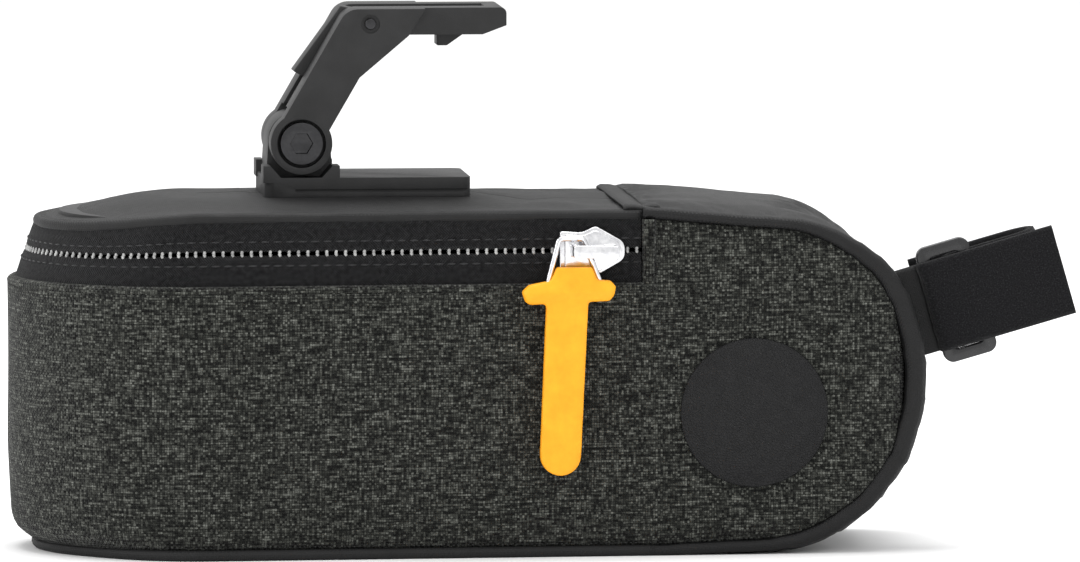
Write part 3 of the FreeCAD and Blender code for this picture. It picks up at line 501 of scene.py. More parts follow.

# %% [markdown]
# ## Finishes
# Each finish is one node tree. Cloths read the pattern coordinates, in millimetres, and build
# their yarns from sine waves, so the weave has its true pitch. Moulded and metal pieces read
# object coordinates. Colour varies a little everywhere, as dye, dust and wear make it do. Some
# cloths and threads are also painted darker in the low parts of their relief (painted shade), the
# coil's grey is a painted highlight, and the gusset has a darker copy of its cloth as painted shade.

# %% A small writer of node trees
class Finish:
    """One material and the nodes that make it."""

    def __init__(self, name, base, roughness, metallic=0.0, specular=0.5, sheen=0.0, coat=0.0):
        self.material = bpy.data.materials.new(name)
        self.material.use_nodes = True
        self.nodes = self.material.node_tree.nodes
        self.links = self.material.node_tree.links
        self.shader = self.nodes["Principled BSDF"]
        self.shader.inputs["Base Color"].default_value = (*base, 1)
        self.shader.inputs["Roughness"].default_value = roughness
        self.shader.inputs["Metallic"].default_value = metallic
        self.shader.inputs["Specular IOR Level"].default_value = specular
        self.shader.inputs["Sheen Weight"].default_value = sheen
        self.shader.inputs["Sheen Roughness"].default_value = 0.4
        self.shader.inputs["Coat Weight"].default_value = coat
        self.shader.inputs["Coat Roughness"].default_value = 0.2

    def put(self, kind, **inputs):
        node = self.nodes.new(kind)
        for key, value in inputs.items():
            if hasattr(node, key) and key not in node.inputs:
                setattr(node, key, value)
                continue
            self.feed(node.inputs[int(key[1:]) if key[1:].isdigit() else key], value)
        return node

    def feed(self, socket, value):
        if hasattr(value, "bl_idname") and hasattr(value, "outputs"):
            value = value.outputs[0]
        if isinstance(value, bpy.types.NodeSocket):
            self.links.new(value, socket)
        else:
            socket.default_value = value

    def math(self, operation, a, b=0.0):
        return self.put("ShaderNodeMath", operation=operation, i0=a, i1=b).outputs[0]

    def pattern(self):
        """The cloth's own coordinates, in millimetres: along and across."""
        spot = self.nodes.new("ShaderNodeTexCoord")
        split = self.put("ShaderNodeSeparateXYZ", i0=spot.outputs["UV"])
        return spot.outputs["UV"], split.outputs[0], split.outputs[1]

    def place(self):
        """Object coordinates, in millimetres."""
        spot = self.nodes.new("ShaderNodeTexCoord")
        scaled = self.put("ShaderNodeMapping", i0=spot.outputs["Object"])
        scaled.inputs["Scale"].default_value = (1000, 1000, 1000)
        return scaled.outputs[0]

    def stretched(self, vector, scale):
        mapping = self.put("ShaderNodeMapping", i0=vector)
        mapping.inputs["Scale"].default_value = scale
        return mapping.outputs[0]

    def noise(self, vector, scale=1.0, detail=3.0, rough=0.55):
        node = self.put("ShaderNodeTexNoise", Vector=vector, Scale=scale, Detail=detail, Roughness=rough)
        return node.outputs[0]

    def ramp(self, value, stops):
        node = self.put("ShaderNodeValToRGB", i0=value)
        elements = node.color_ramp.elements
        while len(elements) < len(stops):
            elements.new(0.5)
        for element, (where, colour) in zip(elements, stops):
            element.position = where
            element.color = (*colour, 1)
        return node.outputs[0]

    def painted_shade(self, colour, value, low=0.6, high=1.0):
        """Darken a colour where the value is low: painted shade in the low parts of a relief."""
        spread = self.put("ShaderNodeMapRange", i0=value, i3=low, i4=high).outputs[0]
        mix = self.put("ShaderNodeVectorMath", operation="SCALE", i0=colour)
        self.feed(mix.inputs["Scale"], spread)
        return mix.outputs[0]

    def colour(self, value):
        self.feed(self.shader.inputs["Base Color"], value)

    def roughness(self, value, low, high):
        spread = self.put("ShaderNodeMapRange", i0=value, i3=low, i4=high).outputs[0]
        self.feed(self.shader.inputs["Roughness"], spread)

    def relief(self, height, depth, strength=1.0, under=None):
        """Bump whose height is given in millimetres of depth."""
        bump = self.put("ShaderNodeBump", Strength=strength, Distance=depth * MM, Height=height)
        if under is not None:
            self.feed(bump.inputs["Normal"], under)
        self.feed(self.shader.inputs["Normal"], bump.outputs[0])
        return bump.outputs[0]


def plain_weave(finish, across, up, pitch):
    """Height of a plain weave: warp and weft pass over each other in turn."""
    u = finish.math("DIVIDE", across, pitch)
    v = finish.math("DIVIDE", up, pitch)
    warp = finish.math("ABSOLUTE", finish.math("SINE", finish.math("MULTIPLY", u, math.pi)))
    weft = finish.math("ABSOLUTE", finish.math("SINE", finish.math("MULTIPLY", v, math.pi)))
    square = finish.math("ADD", finish.math("FLOOR", u), finish.math("FLOOR", v))
    over = finish.math("FLOORED_MODULO", square, 2.0)
    first = finish.math("MULTIPLY", over, warp)
    second = finish.math("MULTIPLY", finish.math("SUBTRACT", 1.0, over), weft)
    return finish.math("ADD", first, second), u, v


def heather_weave():
    """Grey polyester: black warp with pale slubs that run along the weft."""
    f = Finish("heather_weave", (0.04, 0.042, 0.037), 0.95, specular=0.12, sheen=0.1)
    uv, across, up = f.pattern()
    height, u, v = plain_weave(f, across, up, 0.5)
    slub = f.noise(f.stretched(uv, (0.22, 1.9, 1)), 1.0, 4.0, 0.6)
    warp = f.noise(f.stretched(uv, (1.9, 0.3, 1)), 1.0, 2.0, 0.5)
    blend = f.math("ADD", f.math("MULTIPLY", slub, 0.66), f.math("MULTIPLY", warp, 0.34))
    cell = f.put("ShaderNodeCombineXYZ", i0=f.math("FLOOR", u), i1=f.math("FLOOR", v))
    fleck = f.put("ShaderNodeTexWhiteNoise", Vector=cell).outputs[0]
    blend = f.math("ADD", blend, f.math("MULTIPLY", f.math("SUBTRACT", fleck, 0.5), 0.22))
    shade = f.ramp(blend, ((0.36, (0.004, 0.0042, 0.0038)), (0.47, (0.018, 0.019, 0.0165)),
                           (0.56, (0.05, 0.052, 0.045)), (0.7, (0.15, 0.155, 0.138))))
    # The weave's height darkens the colour between the yarns and lifts their tops a little: painted shade, with a touch
    # of painted light on the tops.
    f.colour(f.painted_shade(shade, height, 0.25, 1.1))
    f.relief(height, 0.2, 1.0)
    return f.material


def coated_cloth(name="coated_cloth", base=(0.0045, 0.0045, 0.0047), rough=(0.36, 0.52), pitch=0.4, grain=0.05,
                 specular=0.36):
    """Fine black nylon with a rubbery coating: a soft shine over a faint weave."""
    f = Finish(name, base, 0.42, specular=specular)
    uv, across, up = f.pattern()
    height, u, v = plain_weave(f, across, up, pitch)
    haze = f.noise(uv, 0.12, 3.0, 0.6)
    f.colour(f.ramp(haze, ((0.3, tuple(0.8 * c for c in base)), (0.75, tuple(1.7 * c for c in base)))))
    f.roughness(f.noise(uv, 0.5, 4.0, 0.6), *rough)
    f.relief(height, grain, 1.0)
    return f.material


def herringbone_tape():
    """Zip tape: twill that turns about every 1.3 mm."""
    f = Finish("zip_tape", (0.008, 0.008, 0.0085), 0.9, specular=0.12, sheen=0.06)
    uv, across, up = f.pattern()
    band = f.math("FLOORED_MODULO", f.math("FLOOR", f.math("DIVIDE", up, 1.3)), 2.0)
    side = f.math("SUBTRACT", f.math("MULTIPLY", band, 2.0), 1.0)
    slope = f.math("ADD", across, f.math("MULTIPLY", up, side))
    twill = f.math("ABSOLUTE", f.math("SINE", f.math("MULTIPLY", slope, math.pi / 0.55)))
    shade = f.ramp(f.noise(uv, 1.1, 3.0), ((0.3, (0.003, 0.003, 0.0034)), (0.7, (0.02, 0.02, 0.021))))
    # The twill's ridge profile darkens its grooves and lightens its ridges: painted shade and painted highlight over
    # the random dye tone.
    f.colour(f.painted_shade(shade, twill, 0.05, 1.5))
    f.relief(twill, 0.3, 1.0)
    return f.material


def thread(name, base):
    """Bonded polyester sewing thread, two plies twisted."""
    f = Finish(name, base, 0.6, specular=0.3, sheen=0.1)
    uv, across, up = f.pattern()
    ply = f.math("ABSOLUTE", f.math("SINE", f.math("MULTIPLY", f.math("ADD", across, up), math.pi / 0.4)))
    # The ply profile darkens the colour in the groove between the plies, twice over: painted shade.
    f.colour(f.painted_shade(f.ramp(ply, ((0.0, tuple(0.5 * c for c in base)), (1.0, base))), ply, 0.8, 1.0))
    f.relief(ply, 0.06, 0.8)
    return f.material


def moulded_nylon():
    """Glass-filled nylon from a spark-eroded mould: dull black with a fine grain."""
    f = Finish("moulded_nylon", (0.013, 0.013, 0.0135), 0.55, specular=0.32)
    place = f.place()
    grain = f.noise(place, 3.2, 4.0, 0.7)
    rub = f.noise(place, 0.16, 4.0, 0.6)
    f.colour(f.ramp(rub, ((0.35, (0.012, 0.012, 0.0122)), (0.75, (0.021, 0.021, 0.0215)))))
    f.roughness(rub, 0.45, 0.62)
    f.relief(grain, 0.05, 0.7)
    return f.material


def plated_zinc():
    """Die-cast zinc under bright nickel: shiny, with small casting waves and fine scratches."""
    f = Finish("plated_zinc", (0.8, 0.8, 0.81), 0.16, metallic=1.0)
    place = f.place()
    wave = f.noise(place, 0.7, 2.0)
    scratch = f.noise(f.stretched(place, (0.6, 6, 6)), 1.0, 5.0, 0.7)
    f.colour(f.ramp(wave, ((0.3, (0.62, 0.62, 0.64)), (0.7, (0.86, 0.86, 0.87)))))
    f.roughness(scratch, 0.08, 0.3)
    f.relief(wave, 0.06, 0.4)
    return f.material


def plain_steel(name="plain_steel", base=(0.5, 0.5, 0.52), rough=(0.25, 0.45)):
    f = Finish(name, base, 0.35, metallic=1.0)
    place = f.place()
    f.colour(f.ramp(f.noise(place, 1.5, 3.0), ((0.3, tuple(0.8 * c for c in base)), (0.7, base))))
    f.roughness(f.noise(place, 4.0, 3.0), *rough)
    f.relief(f.noise(place, 5.0, 3.0), 0.02, 0.4)
    return f.material


def pull_rubber():
    """Soft orange-yellow rubber, matt from its mould, a little darker in random patches."""
    f = Finish("pull_rubber", (0.93, 0.36, 0.012), 0.55, specular=0.25)
    place = f.place()
    f.colour(f.ramp(f.noise(place, 0.25, 4.0, 0.6), ((0.3, (0.86, 0.33, 0.01)), (0.7, (0.94, 0.4, 0.016)))))
    f.roughness(f.noise(place, 1.2, 3.0), 0.4, 0.58)
    f.relief(f.noise(place, 4.0, 3.0, 0.6), 0.025, 0.5)
    return f.material


def pressed_leather():
    """Black leatherette: small pebbles with creases between them under a soft shine."""
    f = Finish("pressed_leather", (0.005, 0.005, 0.0055), 0.36, specular=0.25)
    uv, across, up = f.pattern()
    cells = f.put("ShaderNodeTexVoronoi", feature="DISTANCE_TO_EDGE", Vector=uv, Scale=1.9)
    crease = f.ramp(cells.outputs[0], ((0.0, (0, 0, 0)), (0.16, (1, 1, 1))))
    # The creases between the pebbles are darkened: painted shade over a random dye tone.
    f.colour(f.painted_shade(f.ramp(f.noise(uv, 0.4), ((0.3, (0.0035, 0.0035, 0.004)), (0.7, (0.007, 0.007, 0.0075)))),
                    crease, 0.6, 1.0))
    f.roughness(f.noise(uv, 1.6, 3.0), 0.34, 0.52)
    f.relief(crease, 0.09, 0.9)
    return f.material


def hook_and_loop():
    """Brushed loop webbing: a dense mat of tiny curled fibres over a coarse rib."""
    f = Finish("hook_and_loop", (0.01, 0.01, 0.011), 0.95, specular=0.1, sheen=0.12)
    uv, across, up = f.pattern()
    fuzz = f.noise(uv, 3.2, 5.0, 0.75)
    clump = f.noise(uv, 0.7, 3.0, 0.6)
    # The colour follows the pile's own bump noise, dark in its low fibres and light on its high ones: partly random
    # fibre tone, partly painted shade and highlight.
    f.colour(f.ramp(fuzz, ((0.36, (0.003, 0.003, 0.0035)), (0.55, (0.012, 0.012, 0.013)),
                           (0.72, (0.045, 0.045, 0.048)))))
    rough = f.relief(clump, 0.3, 0.6)
    f.relief(fuzz, 0.35, 0.9, under=rough)
    return f.material


def glossy_plastic():
    """Acetal ring: smooth black with a clear highlight."""
    f = Finish("glossy_plastic", (0.012, 0.012, 0.013), 0.24, specular=0.5)
    place = f.place()
    f.colour(f.ramp(f.noise(place, 0.5), ((0.3, (0.009, 0.009, 0.01)), (0.7, (0.017, 0.017, 0.018)))))
    f.roughness(f.noise(place, 1.5, 4.0), 0.18, 0.34)
    f.relief(f.noise(place, 2.0), 0.03, 0.3)
    return f.material


def zip_coil():
    """Nylon monofilament of the coil, glossy; its light grey colour is painted highlight for the bright glints on the
    teeth.
    """
    f = Finish("zip_coil", (0.25, 0.25, 0.25), 0.18, specular=0.8)
    place = f.place()
    # A light grey colour: painted highlight on the coil's teeth.
    f.colour(f.ramp(f.noise(place, 0.6), ((0.3, (0.16, 0.16, 0.16)), (0.7, (0.42, 0.42, 0.41)))))
    f.roughness(f.noise(place, 2.5), 0.12, 0.25)
    return f.material


HEATHER = heather_weave()
COIL_PAINTED_HIGHLIGHT = zip_coil()
COATED = coated_cloth(rough=(0.58, 0.74))
# A darker copy of the coated cloth for the gusset only: painted shade; the bottom of the same band keeps the plain
# cloth.
GUSSET_PAINTED_SHADE = coated_cloth("gusset_cloth_painted_shade", (0.0025, 0.0025, 0.0027), (0.44, 0.62), 0.4, 0.05, 0.3)
LINING = coated_cloth("lining_cloth", (0.02, 0.02, 0.021), (0.5, 0.65), 0.3)
TAPE = herringbone_tape()
BLACK_THREAD = thread("black_thread", (0.035, 0.035, 0.037))
GREY_THREAD = thread("grey_thread", (0.10, 0.10, 0.10))
NYLON = moulded_nylon()
ZINC = plated_zinc()
STEEL = plain_steel()
BLACK_STEEL = plain_steel("black_steel", (0.05, 0.05, 0.052), (0.25, 0.4))
RUBBER = pull_rubber()
LEATHER = pressed_leather()
LOOP = hook_and_loop()
GLOSSY = glossy_plastic()
print("finishes:", len(bpy.data.materials))

# %% [markdown]
# ## The wrapped side panel
# One strip of foam-backed heather cloth runs along the near side, round the rear and back along
# the far side. It is a grid: columns follow the U, rows climb from the bottom seam to the hem.
# In front of the zip the rows go on up to the top seam. The cloth swells a little in the middle
# and dives at its edges, where the stitches pull it under the gusset's roll.

# %% Side panel
def edge_dive(distance, deep=1.3, reach=1.5):
    """How far cloth is pulled in at a distance from its seam."""
    return deep * math.exp(-(distance / reach) ** 2)


def heel_curl(x, z, radius=8.0):
    """How far the rear wall tucks under near the floor."""
    if z >= radius:
        return 0.0
    lift = radius - z
    return smooth(-58, -84, x) * (radius - math.sqrt(radius * radius - lift * lift))


badge_low, badge_high = [Vector(c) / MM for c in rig.box("badge")]
BADGE_X, BADGE_Z = (badge_low.x + badge_high.x) / 2, (badge_low.z + badge_high.z) / 2


def panel_point(spot, normal, run, z, e_bottom, e_top):
    """A point of the panel's outer face."""
    swell = 0.9 * smooth(0, 22, min(e_bottom, e_top))
    dive = edge_dive(e_bottom) + edge_dive(e_top)
    wave = 0.32 * ripple(run / 34, z / 30, 0, 1) + 0.12 * ripple(run / 9, z / 14, 0, 2)
    if spot[1] < 0:
        flat = smooth(15, 24, math.hypot(spot[0] - BADGE_X, z - BADGE_Z))
        swell *= flat
        wave *= 0.3 + 0.7 * flat
    off = swell - dive + wave * smooth(0, 8, min(e_bottom, e_top)) - heel_curl(spot[0], z)
    return (spot[0] + normal[0] * off, spot[1] + normal[1] * off, z)


def make_panel():
    line, normal, run = plan_line(PANEL_FRONT - 0.05, 1.3)
    lower = []
    lower_uv = []
    rows = 44
    for r in range(rows + 1):
        t = r / rows
        row = []
        marks = []
        for spot, n, s in zip(line, normal, run):
            bottom, top = panel_bottom(spot[0]), panel_top(spot[0])
            if spot[0] < HEM_END:
                ceiling = HEM_Z + 0.4
            else:
                share = (HEM_Z + 0.4 - panel_bottom(HEM_END)) / (panel_top(HEM_END) - panel_bottom(HEM_END))
                ceiling = bottom + (top - bottom) * share
            z = bottom + (ceiling - bottom) * t
            seam = PANEL_FRONT - spot[0]
            e_top = (top - z) if spot[0] > HEM_END else 30
            row.append(panel_point(spot, n, s, z, min(z - bottom, seam * 0.8), min(e_top, seam * 0.8)))
            marks.append((s, z))
        lower.append(row)
        lower_uv.append(marks)
    pieces = [grid_mesh("panel_lower", lower, lower_uv)]
    fronts = [i for i, spot in enumerate(line) if spot[0] >= HEM_END]
    for side in (-1, 1):
        columns = [i for i in fronts if line[i][1] * side > 0]
        if side < 0:
            columns = columns + [columns[-1] + 1]
        else:
            columns = [columns[0] - 1] + columns
        upper = []
        upper_uv = []
        for r in range(15):
            t = r / 14
            row = []
            marks = []
            for i in columns:
                spot = line[i].copy()
                if spot[0] < HEM_END:
                    spot[1] = side * half_width(HEM_END)
                    spot[0] = HEM_END
                bottom, top = panel_bottom(spot[0]), panel_top(spot[0])
                share = (HEM_Z + 0.4 - panel_bottom(HEM_END)) / (panel_top(HEM_END) - panel_bottom(HEM_END))
                z = bottom + (top - bottom) * (share + (1 - share) * t)
                seam = PANEL_FRONT - spot[0]
                row.append(panel_point(spot, normal[i], run[i], z, min(z - bottom, seam * 0.8),
                                       min(top - z, seam * 0.8)))
                marks.append((run[i], z))
            upper.append(row)
            upper_uv.append(marks)
        pieces.append(grid_mesh("panel_upper", upper, upper_uv))
    work = bmesh.new()
    for mesh in pieces:
        work.from_mesh(mesh)
    bmesh.ops.remove_doubles(work, verts=work.verts, dist=0.05 * MM)
    mesh = bpy.data.meshes.new("side_cover")
    work.to_mesh(mesh)
    work.free()
    panel = new_object("side_cover", mesh, HEATHER, "bag", "heather_fabric")
    thicken(panel, 2.4)
    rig.replaces(panel, "side_panel")
    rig.padded(panel, fill=0.35)
    return panel


side_cover = make_panel()
print("side cover:", len(side_cover.data.vertices), "points")

# %% [markdown]
# ## The gusset: bottom, nose and top front
# One long band of coated cloth closes the loaf. Where it meets the side panel it is rolled over a
# cord of foam, so a shiny black lip frames the grey cloth: thin under the bag, fat at the nose.
# The band is gathered round the curves, and gathering leaves short puckers that run in from the
# seam. A cloth simulation with its seams pinned lets the band swell and find its own creases.

# %% Cloth that swells between pinned seams
def puff(piece, pinned, pressure=3.0, frames=14, cap=2.0, spare=0.0, bend=0.3):
    """Let a sheet swell and crease between its pinned points, and keep the result."""
    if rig.quick():
        return
    start = np.array([v.co[:] for v in piece.data.vertices])
    group = piece.vertex_groups.new(name="seam")
    group.add([int(i) for i in pinned], 1.0, "REPLACE")
    cloth = piece.modifiers.new("cloth", "CLOTH")
    settings = cloth.settings
    settings.quality = 6
    settings.mass = 0.12
    settings.tension_stiffness = 18
    settings.compression_stiffness = 12
    settings.shear_stiffness = 6
    settings.bending_stiffness = bend
    settings.tension_damping = 8
    settings.air_damping = 3
    settings.use_pressure = True
    settings.uniform_pressure_force = pressure
    settings.shrink_min = -spare
    settings.vertex_group_mass = "seam"
    settings.pin_stiffness = 1.0
    settings.effector_weights.gravity = 0
    cloth.collision_settings.use_collision = False
    scene = bpy.context.scene
    for step in range(1, frames + 1):
        scene.frame_set(step)
    graph = bpy.context.evaluated_depsgraph_get()
    shaped = piece.evaluated_get(graph).to_mesh()
    moved = np.array([v.co[:] for v in shaped.vertices])
    piece.evaluated_get(graph).to_mesh_clear()
    piece.modifiers.clear()
    scene.frame_set(1)
    shift = moved - start
    length = np.linalg.norm(shift, axis=1)
    limit = cap * MM
    scale = np.where(length > 1e-9, limit * np.tanh(length / limit) / np.maximum(length, 1e-9), 0.0)
    final = start + shift * scale[:, None]
    piece.data.vertices.foreach_set("co", final.ravel())
    piece.data.update()
    print(piece.name, "moved up to", round(float((length * scale).max()) / MM, 2), "mm")


# %% Gusset round the nose
def strip_section(half, thick, lip=0.5, crown=0.0, steps=26, curl=6):
    """One crossing of the band: (distance out of the outline, sideways place, distance from the edge)."""
    radius = thick * 0.56
    section = []
    for k in range(curl + 1):
        angle = math.radians(-75 + 165 * k / curl)
        section.append((-radius + radius * math.sin(angle), -(half + lip - radius + radius * math.cos(angle)), 0.0))
    inner = half + lip - radius
    for k in range(1, steps):
        y = -inner + 2 * inner * k / steps
        edge = inner - abs(y)
        section.append((crown * (1 - (y / inner) ** 2), y, edge))
    for k in range(curl + 1):
        angle = math.radians(90 - 165 * k / curl)
        section.append((-radius + radius * math.sin(angle), half + lip - radius + radius * math.cos(angle), 0.0))
    return section


def gather(run, side, edge, nose_share):
    """Puckers that run in from a gathered seam."""
    ridge = ripple(run / 3.6, side * 5.0 + edge / 26.0, 0, 4) + 0.45 * ripple(run / 1.7, side * 7.0, 0, 5)
    broad = ripple(run / 11.0, side * 3.0 + edge / 18.0, 0, 6)
    fade = math.exp(-edge / 6.0)
    return (0.12 + 0.34 * nose_share) * ridge * fade + (0.12 + 0.4 * nose_share) * broad * math.exp(-edge / 16.0)


def make_gusset():
    line, run = gusset_outline, gusset_run
    normal = outward(line, left=False)
    points = []
    uv = []
    pinned = []
    columns = 0
    start = next(i for i, p in enumerate(line) if p[0] > RISE_START - 6 and i > 2)
    for i in range(start, len(line)):
        spot, n = line[i], normal[i]
        share = max(0.0, float(n[0]))
        top = smooth(0.1, 0.9, float(n[1]))
        thick = BOTTOM_BAND + (NOSE_BAND - BOTTOM_BAND) * share ** 0.7 + (TOP_BAND - BOTTOM_BAND) * top
        bend = share * (1 - abs(share - 0.75))
        section = strip_section(half_width(min(spot[0], NOSE)), thick, 0.45 + 0.25 * share, 0.5 * share + 0.6 * top)
        columns = len(section)
        row = []
        marks = []
        sideways = 0.0
        for k, (out, y, edge) in enumerate(section):
            side = -1.0 if y < 0 else 1.0
            out = out + gather(run[i], side, edge, bend) * (1.0 if i > start + 6 else 0.0)
            row.append((spot[0] + n[0] * out, y, spot[1] + n[1] * out))
            if k:
                sideways += math.dist(row[-1], row[-2])
            marks.append((run[i], sideways))
        points.append(row)
        uv.append(marks)
    rows = len(points)
    mesh = grid_mesh("gusset_cover", points, uv)
    cover = new_object("gusset_cover", mesh, GUSSET_PAINTED_SHADE, "bag", "coated_fabric")
    rim = 7
    for r in range(rows):
        for c in range(columns):
            if r in (0, rows - 1) or c < rim or c >= columns - rim:
                pinned.append(r * columns + c)
    puff(cover, pinned, pressure=-2.0, cap=1.2, spare=0.025, bend=0.15)
    thicken(cover, 0.9)
    stand(cover)
    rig.replaces(cover, "gusset")
    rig.padded(cover, fill=0.3)
    return cover


gusset_cover = make_gusset()
print("gusset:", len(gusset_cover.data.vertices), "points")

# %% Bottom of the bag
def make_bottom():
    """The band's flat run under the bag, with the same rolled lip all the way round the rear."""
    line, normal, run = plan_line(RISE_START - 4, 1.6)
    radius = BOTTOM_BAND * 0.56
    points = []
    uv = []
    curl = 6
    for k in range(curl + 1):
        angle = math.radians(75 - 165 * k / curl)
        out = 0.45 - radius + radius * math.cos(angle)
        z = radius + radius * math.sin(angle)
        row = []
        marks = []
        for spot, n, s in zip(line, normal, run):
            inward = out - heel_curl(spot[0], 0.9) + 0.05 * ripple(s / 3, k / 3, 0, 7)
            row.append((spot[0] + n[0] * inward, spot[1] + n[1] * inward, max(z, 0.0)))
            marks.append((s, k * 0.4))
        points.append(row)
        uv.append(marks)
    for k in range(1, 14):
        t = k / 13
        row = []
        marks = []
        for spot, n, s in zip(line, normal, run):
            inward = 0.45 - radius - heel_curl(spot[0], 0.9)
            edge = np.array((spot[0] + n[0] * inward, spot[1] + n[1] * inward))
            centre = np.array((max(spot[0], REAR + REAR_RADIUS), 0.0))
            p = edge * (1 - t) + centre * t
            row.append((p[0], p[1], 0.0))
            marks.append((p[0], p[1]))
        points.append(row)
        uv.append(marks)
    mesh = grid_mesh("bottom_cover", points, uv)
    cover = new_object("bottom_cover", mesh, COATED, "bag", "coated_fabric")
    thicken(cover, 0.9)
    return cover


bottom_cover = make_bottom()
bottom_low = min(v.co.z for v in bottom_cover.data.vertices)
print("bottom lies at", round(bottom_low / MM, 3), "mm")

# %% [markdown]
# ## Lining
# Inside, a thin black nylon bag is sewn in at the hem. It only shows when the lid stands open,
# so a plain loose shell with soft waves is enough, a little inside the foam of the walls.

# %% Lining
def make_lining():
    line, normal, run = plan_line(PANEL_FRONT - 3, 3.0)
    points = []
    uv = []
    for z in np.linspace(HEM_Z + 0.5, BOTTOM_BAND + 1.0, 22):
        row = []
        marks = []
        for spot, n, s in zip(line, normal, run):
            low = panel_bottom(spot[0]) + 1.2
            high = min(HEM_Z + 0.5, panel_top(spot[0]) - 1.2)
            share = (z - BOTTOM_BAND - 1.0) / (HEM_Z - 0.5 - BOTTOM_BAND)
            height = low + (high - low) * share
            out = -3.4 - 0.5 * abs(ripple(s / 16, z / 12, 0, 8)) - heel_curl(spot[0], height)
            row.append((spot[0] + n[0] * out, spot[1] + n[1] * out, height))
            marks.append((s, z))
        points.append(row)
        uv.append(marks)
    floor = points[-1]
    for t in (0.3, 0.65, 1.0):
        row = []
        marks = []
        for (x, y, z), mark in zip(floor, uv[21]):
            centre = max(x, REAR + REAR_RADIUS)
            row.append((x + (centre - x) * t, y * (1 - t), z))
            marks.append((x + (centre - x) * t, y * (1 - t)))
        points.append(row)
        uv.append(marks)
    mesh = grid_mesh("lining_bag", points, uv)
    lining = new_object("lining_bag", mesh, LINING, "bag", "lining_fabric")
    thicken(lining, 0.3)
    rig.replaces(lining, "lining")
    return lining


lining_bag = make_lining()
print("lining:", len(lining_bag.data.vertices), "points")

# %% [markdown]
# ## The hem under the zip
# The side panel's top edge is folded over and stitched, and stands a little proud of the wall.
# At the zip's front end the same fold turns upwards, so the tape ends in a neat grey corner.

# %% Hem and its upright end
HEM_HIGH = tape_low.z - HEM_Z


def fold_strip(name, centre_line, normals, half_high, proud, climb):
    """A folded edge: a rounded strip along a line, in the plane of the wall."""
    points = []
    uv = []
    steps = 10
    run = 0.0
    for i, (c, n) in enumerate(zip(centre_line, normals)):
        if i:
            run += math.dist(centre_line[i], centre_line[i - 1])
        row = []
        marks = []
        for k in range(steps + 1):
            angle = math.pi * (k / steps - 0.5)
            up = half_high * math.sin(angle)
            out = proud * math.cos(angle) - 0.9 + 0.06 * ripple(run / 5, k / 4, 0, 9)
            row.append((c[0] + n[0] * out + climb[i][0] * up, c[1] + n[1] * out + climb[i][1] * up,
                        c[2] + climb[i][2] * up))
            marks.append((run, k * 0.35))
        points.append(row)
        uv.append(marks)
    mesh = grid_mesh(name, points, uv)
    return mesh


def make_hem():
    line, normal, run = plan_line(HEM_END, 1.3)
    centre = [(p[0], p[1], HEM_Z + HEM_HIGH * 0.5) for p in line]
    flat = [(n[0], n[1], 0) for n in normal]
    up = [(0, 0, 1)] * len(centre)
    hem = new_object("hem_fold", fold_strip("hem_fold", centre, flat, HEM_HIGH * 0.62, 1.9, up), HEATHER, "bag",
                     "heather_fabric")
    thicken(hem, 0.8)
    for side, label in ((-1, "near"), (1, "far")):
        middle = (HEM_END + LID_LINE) / 2
        x_dir = -math.cos(math.atan(TAPER))
        climb = []
        place = []
        out = []
        for z in np.linspace(HEM_Z + 0.3, panel_top(middle) - 0.6, 16):
            place.append((middle, side * half_width(middle), z))
            out.append((math.sin(math.atan(TAPER)), side * math.cos(math.atan(TAPER)), 0))
            climb.append((x_dir, side * math.sin(math.atan(TAPER)), 0))
        name = "hem_end_" + label
        half = (HEM_END - LID_LINE) / 2
        piece = new_object(name, fold_strip(name, place, out, half * 1.1, 1.9, climb), HEATHER, "bag",
                           "heather_fabric")
        thicken(piece, 0.8)
    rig.replaces(hem, "hem_roll")
    return hem


hem_fold = make_hem()
print("hem at", round(HEM_Z, 2), "mm, its end at", round(HEM_END, 2))

# %% [markdown]
# ## The zip
# A reverse-coil zip shows its flat tape: two strips of twill that meet in a slit, with the coil
# sewn behind. Two rows of stitches hold the coil, and between the strips its bent teeth show as a
# row of small grey beads, whose grey is painted highlight. Round the rear the whole band leans in.
# The upper strip belongs to the lid and rides on it, the lower one stays with the bag.

# %% Heights along the band
def lid_drop(x):
    """The lid sinks a little towards its rear edge."""
    return 2.6 * smooth(-54, -86, x)


def band_point(spot, normal, z, out):
    """A point on the leaning zip band, out of its face."""
    base = HEM_Z + HEM_HIGH
    share = (z - base) / (LID_EDGE - base)
    x = spot[0] + REAR_LEAN * share * smooth(-54, -78, spot[0])
    drop = lid_drop(spot[0]) * max(0.0, share) ** 1.5
    inset = 0.75 + 0.1 * share
    return (x + normal[0] * (out - inset), spot[1] + normal[1] * (out - inset), z - drop)


def band_strip(name, low, high, out, body, material, slot, rows=5, edge=0.0):
    line, normal, run = plan_line(LID_LINE - 0.3, 1.3)
    points = []
    uv = []
    for k in range(rows + 1):
        z = low + (high - low) * k / rows
        row = []
        marks = []
        for spot, n, s in zip(line, normal, run):
            near_slit = math.exp(-((z - ZIP_LINE) / 1.1) ** 2)
            wave = 0.10 * ripple(s / 10, z / 6, 0, 10) - edge * near_slit
            row.append(band_point(spot, n, z, out + wave))
            marks.append((s, z))
        points.append(row)
        uv.append(marks)
    strip = new_object(name, grid_mesh(name, points, uv), material, body, slot)
    thicken(strip, 0.7)
    return strip


SLIT = upper_low.z - tape_high.z
tape_low_cover = band_strip("tape_lower", HEM_Z + 0.6, ZIP_LINE - SLIT / 2, 0.0, "bag", TAPE, "tape_fabric", 8, 0.35)
tape_up_cover = band_strip("tape_upper", ZIP_LINE + SLIT / 2, LID_EDGE + 0.5, 0.0, "lid", TAPE, "tape_fabric", 8,
                           0.35)
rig.replaces(tape_low_cover, "zip_tape_lower")
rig.replaces(tape_up_cover, "zip_tape_upper")
print("slit between the tapes:", round(SLIT, 2), "mm")


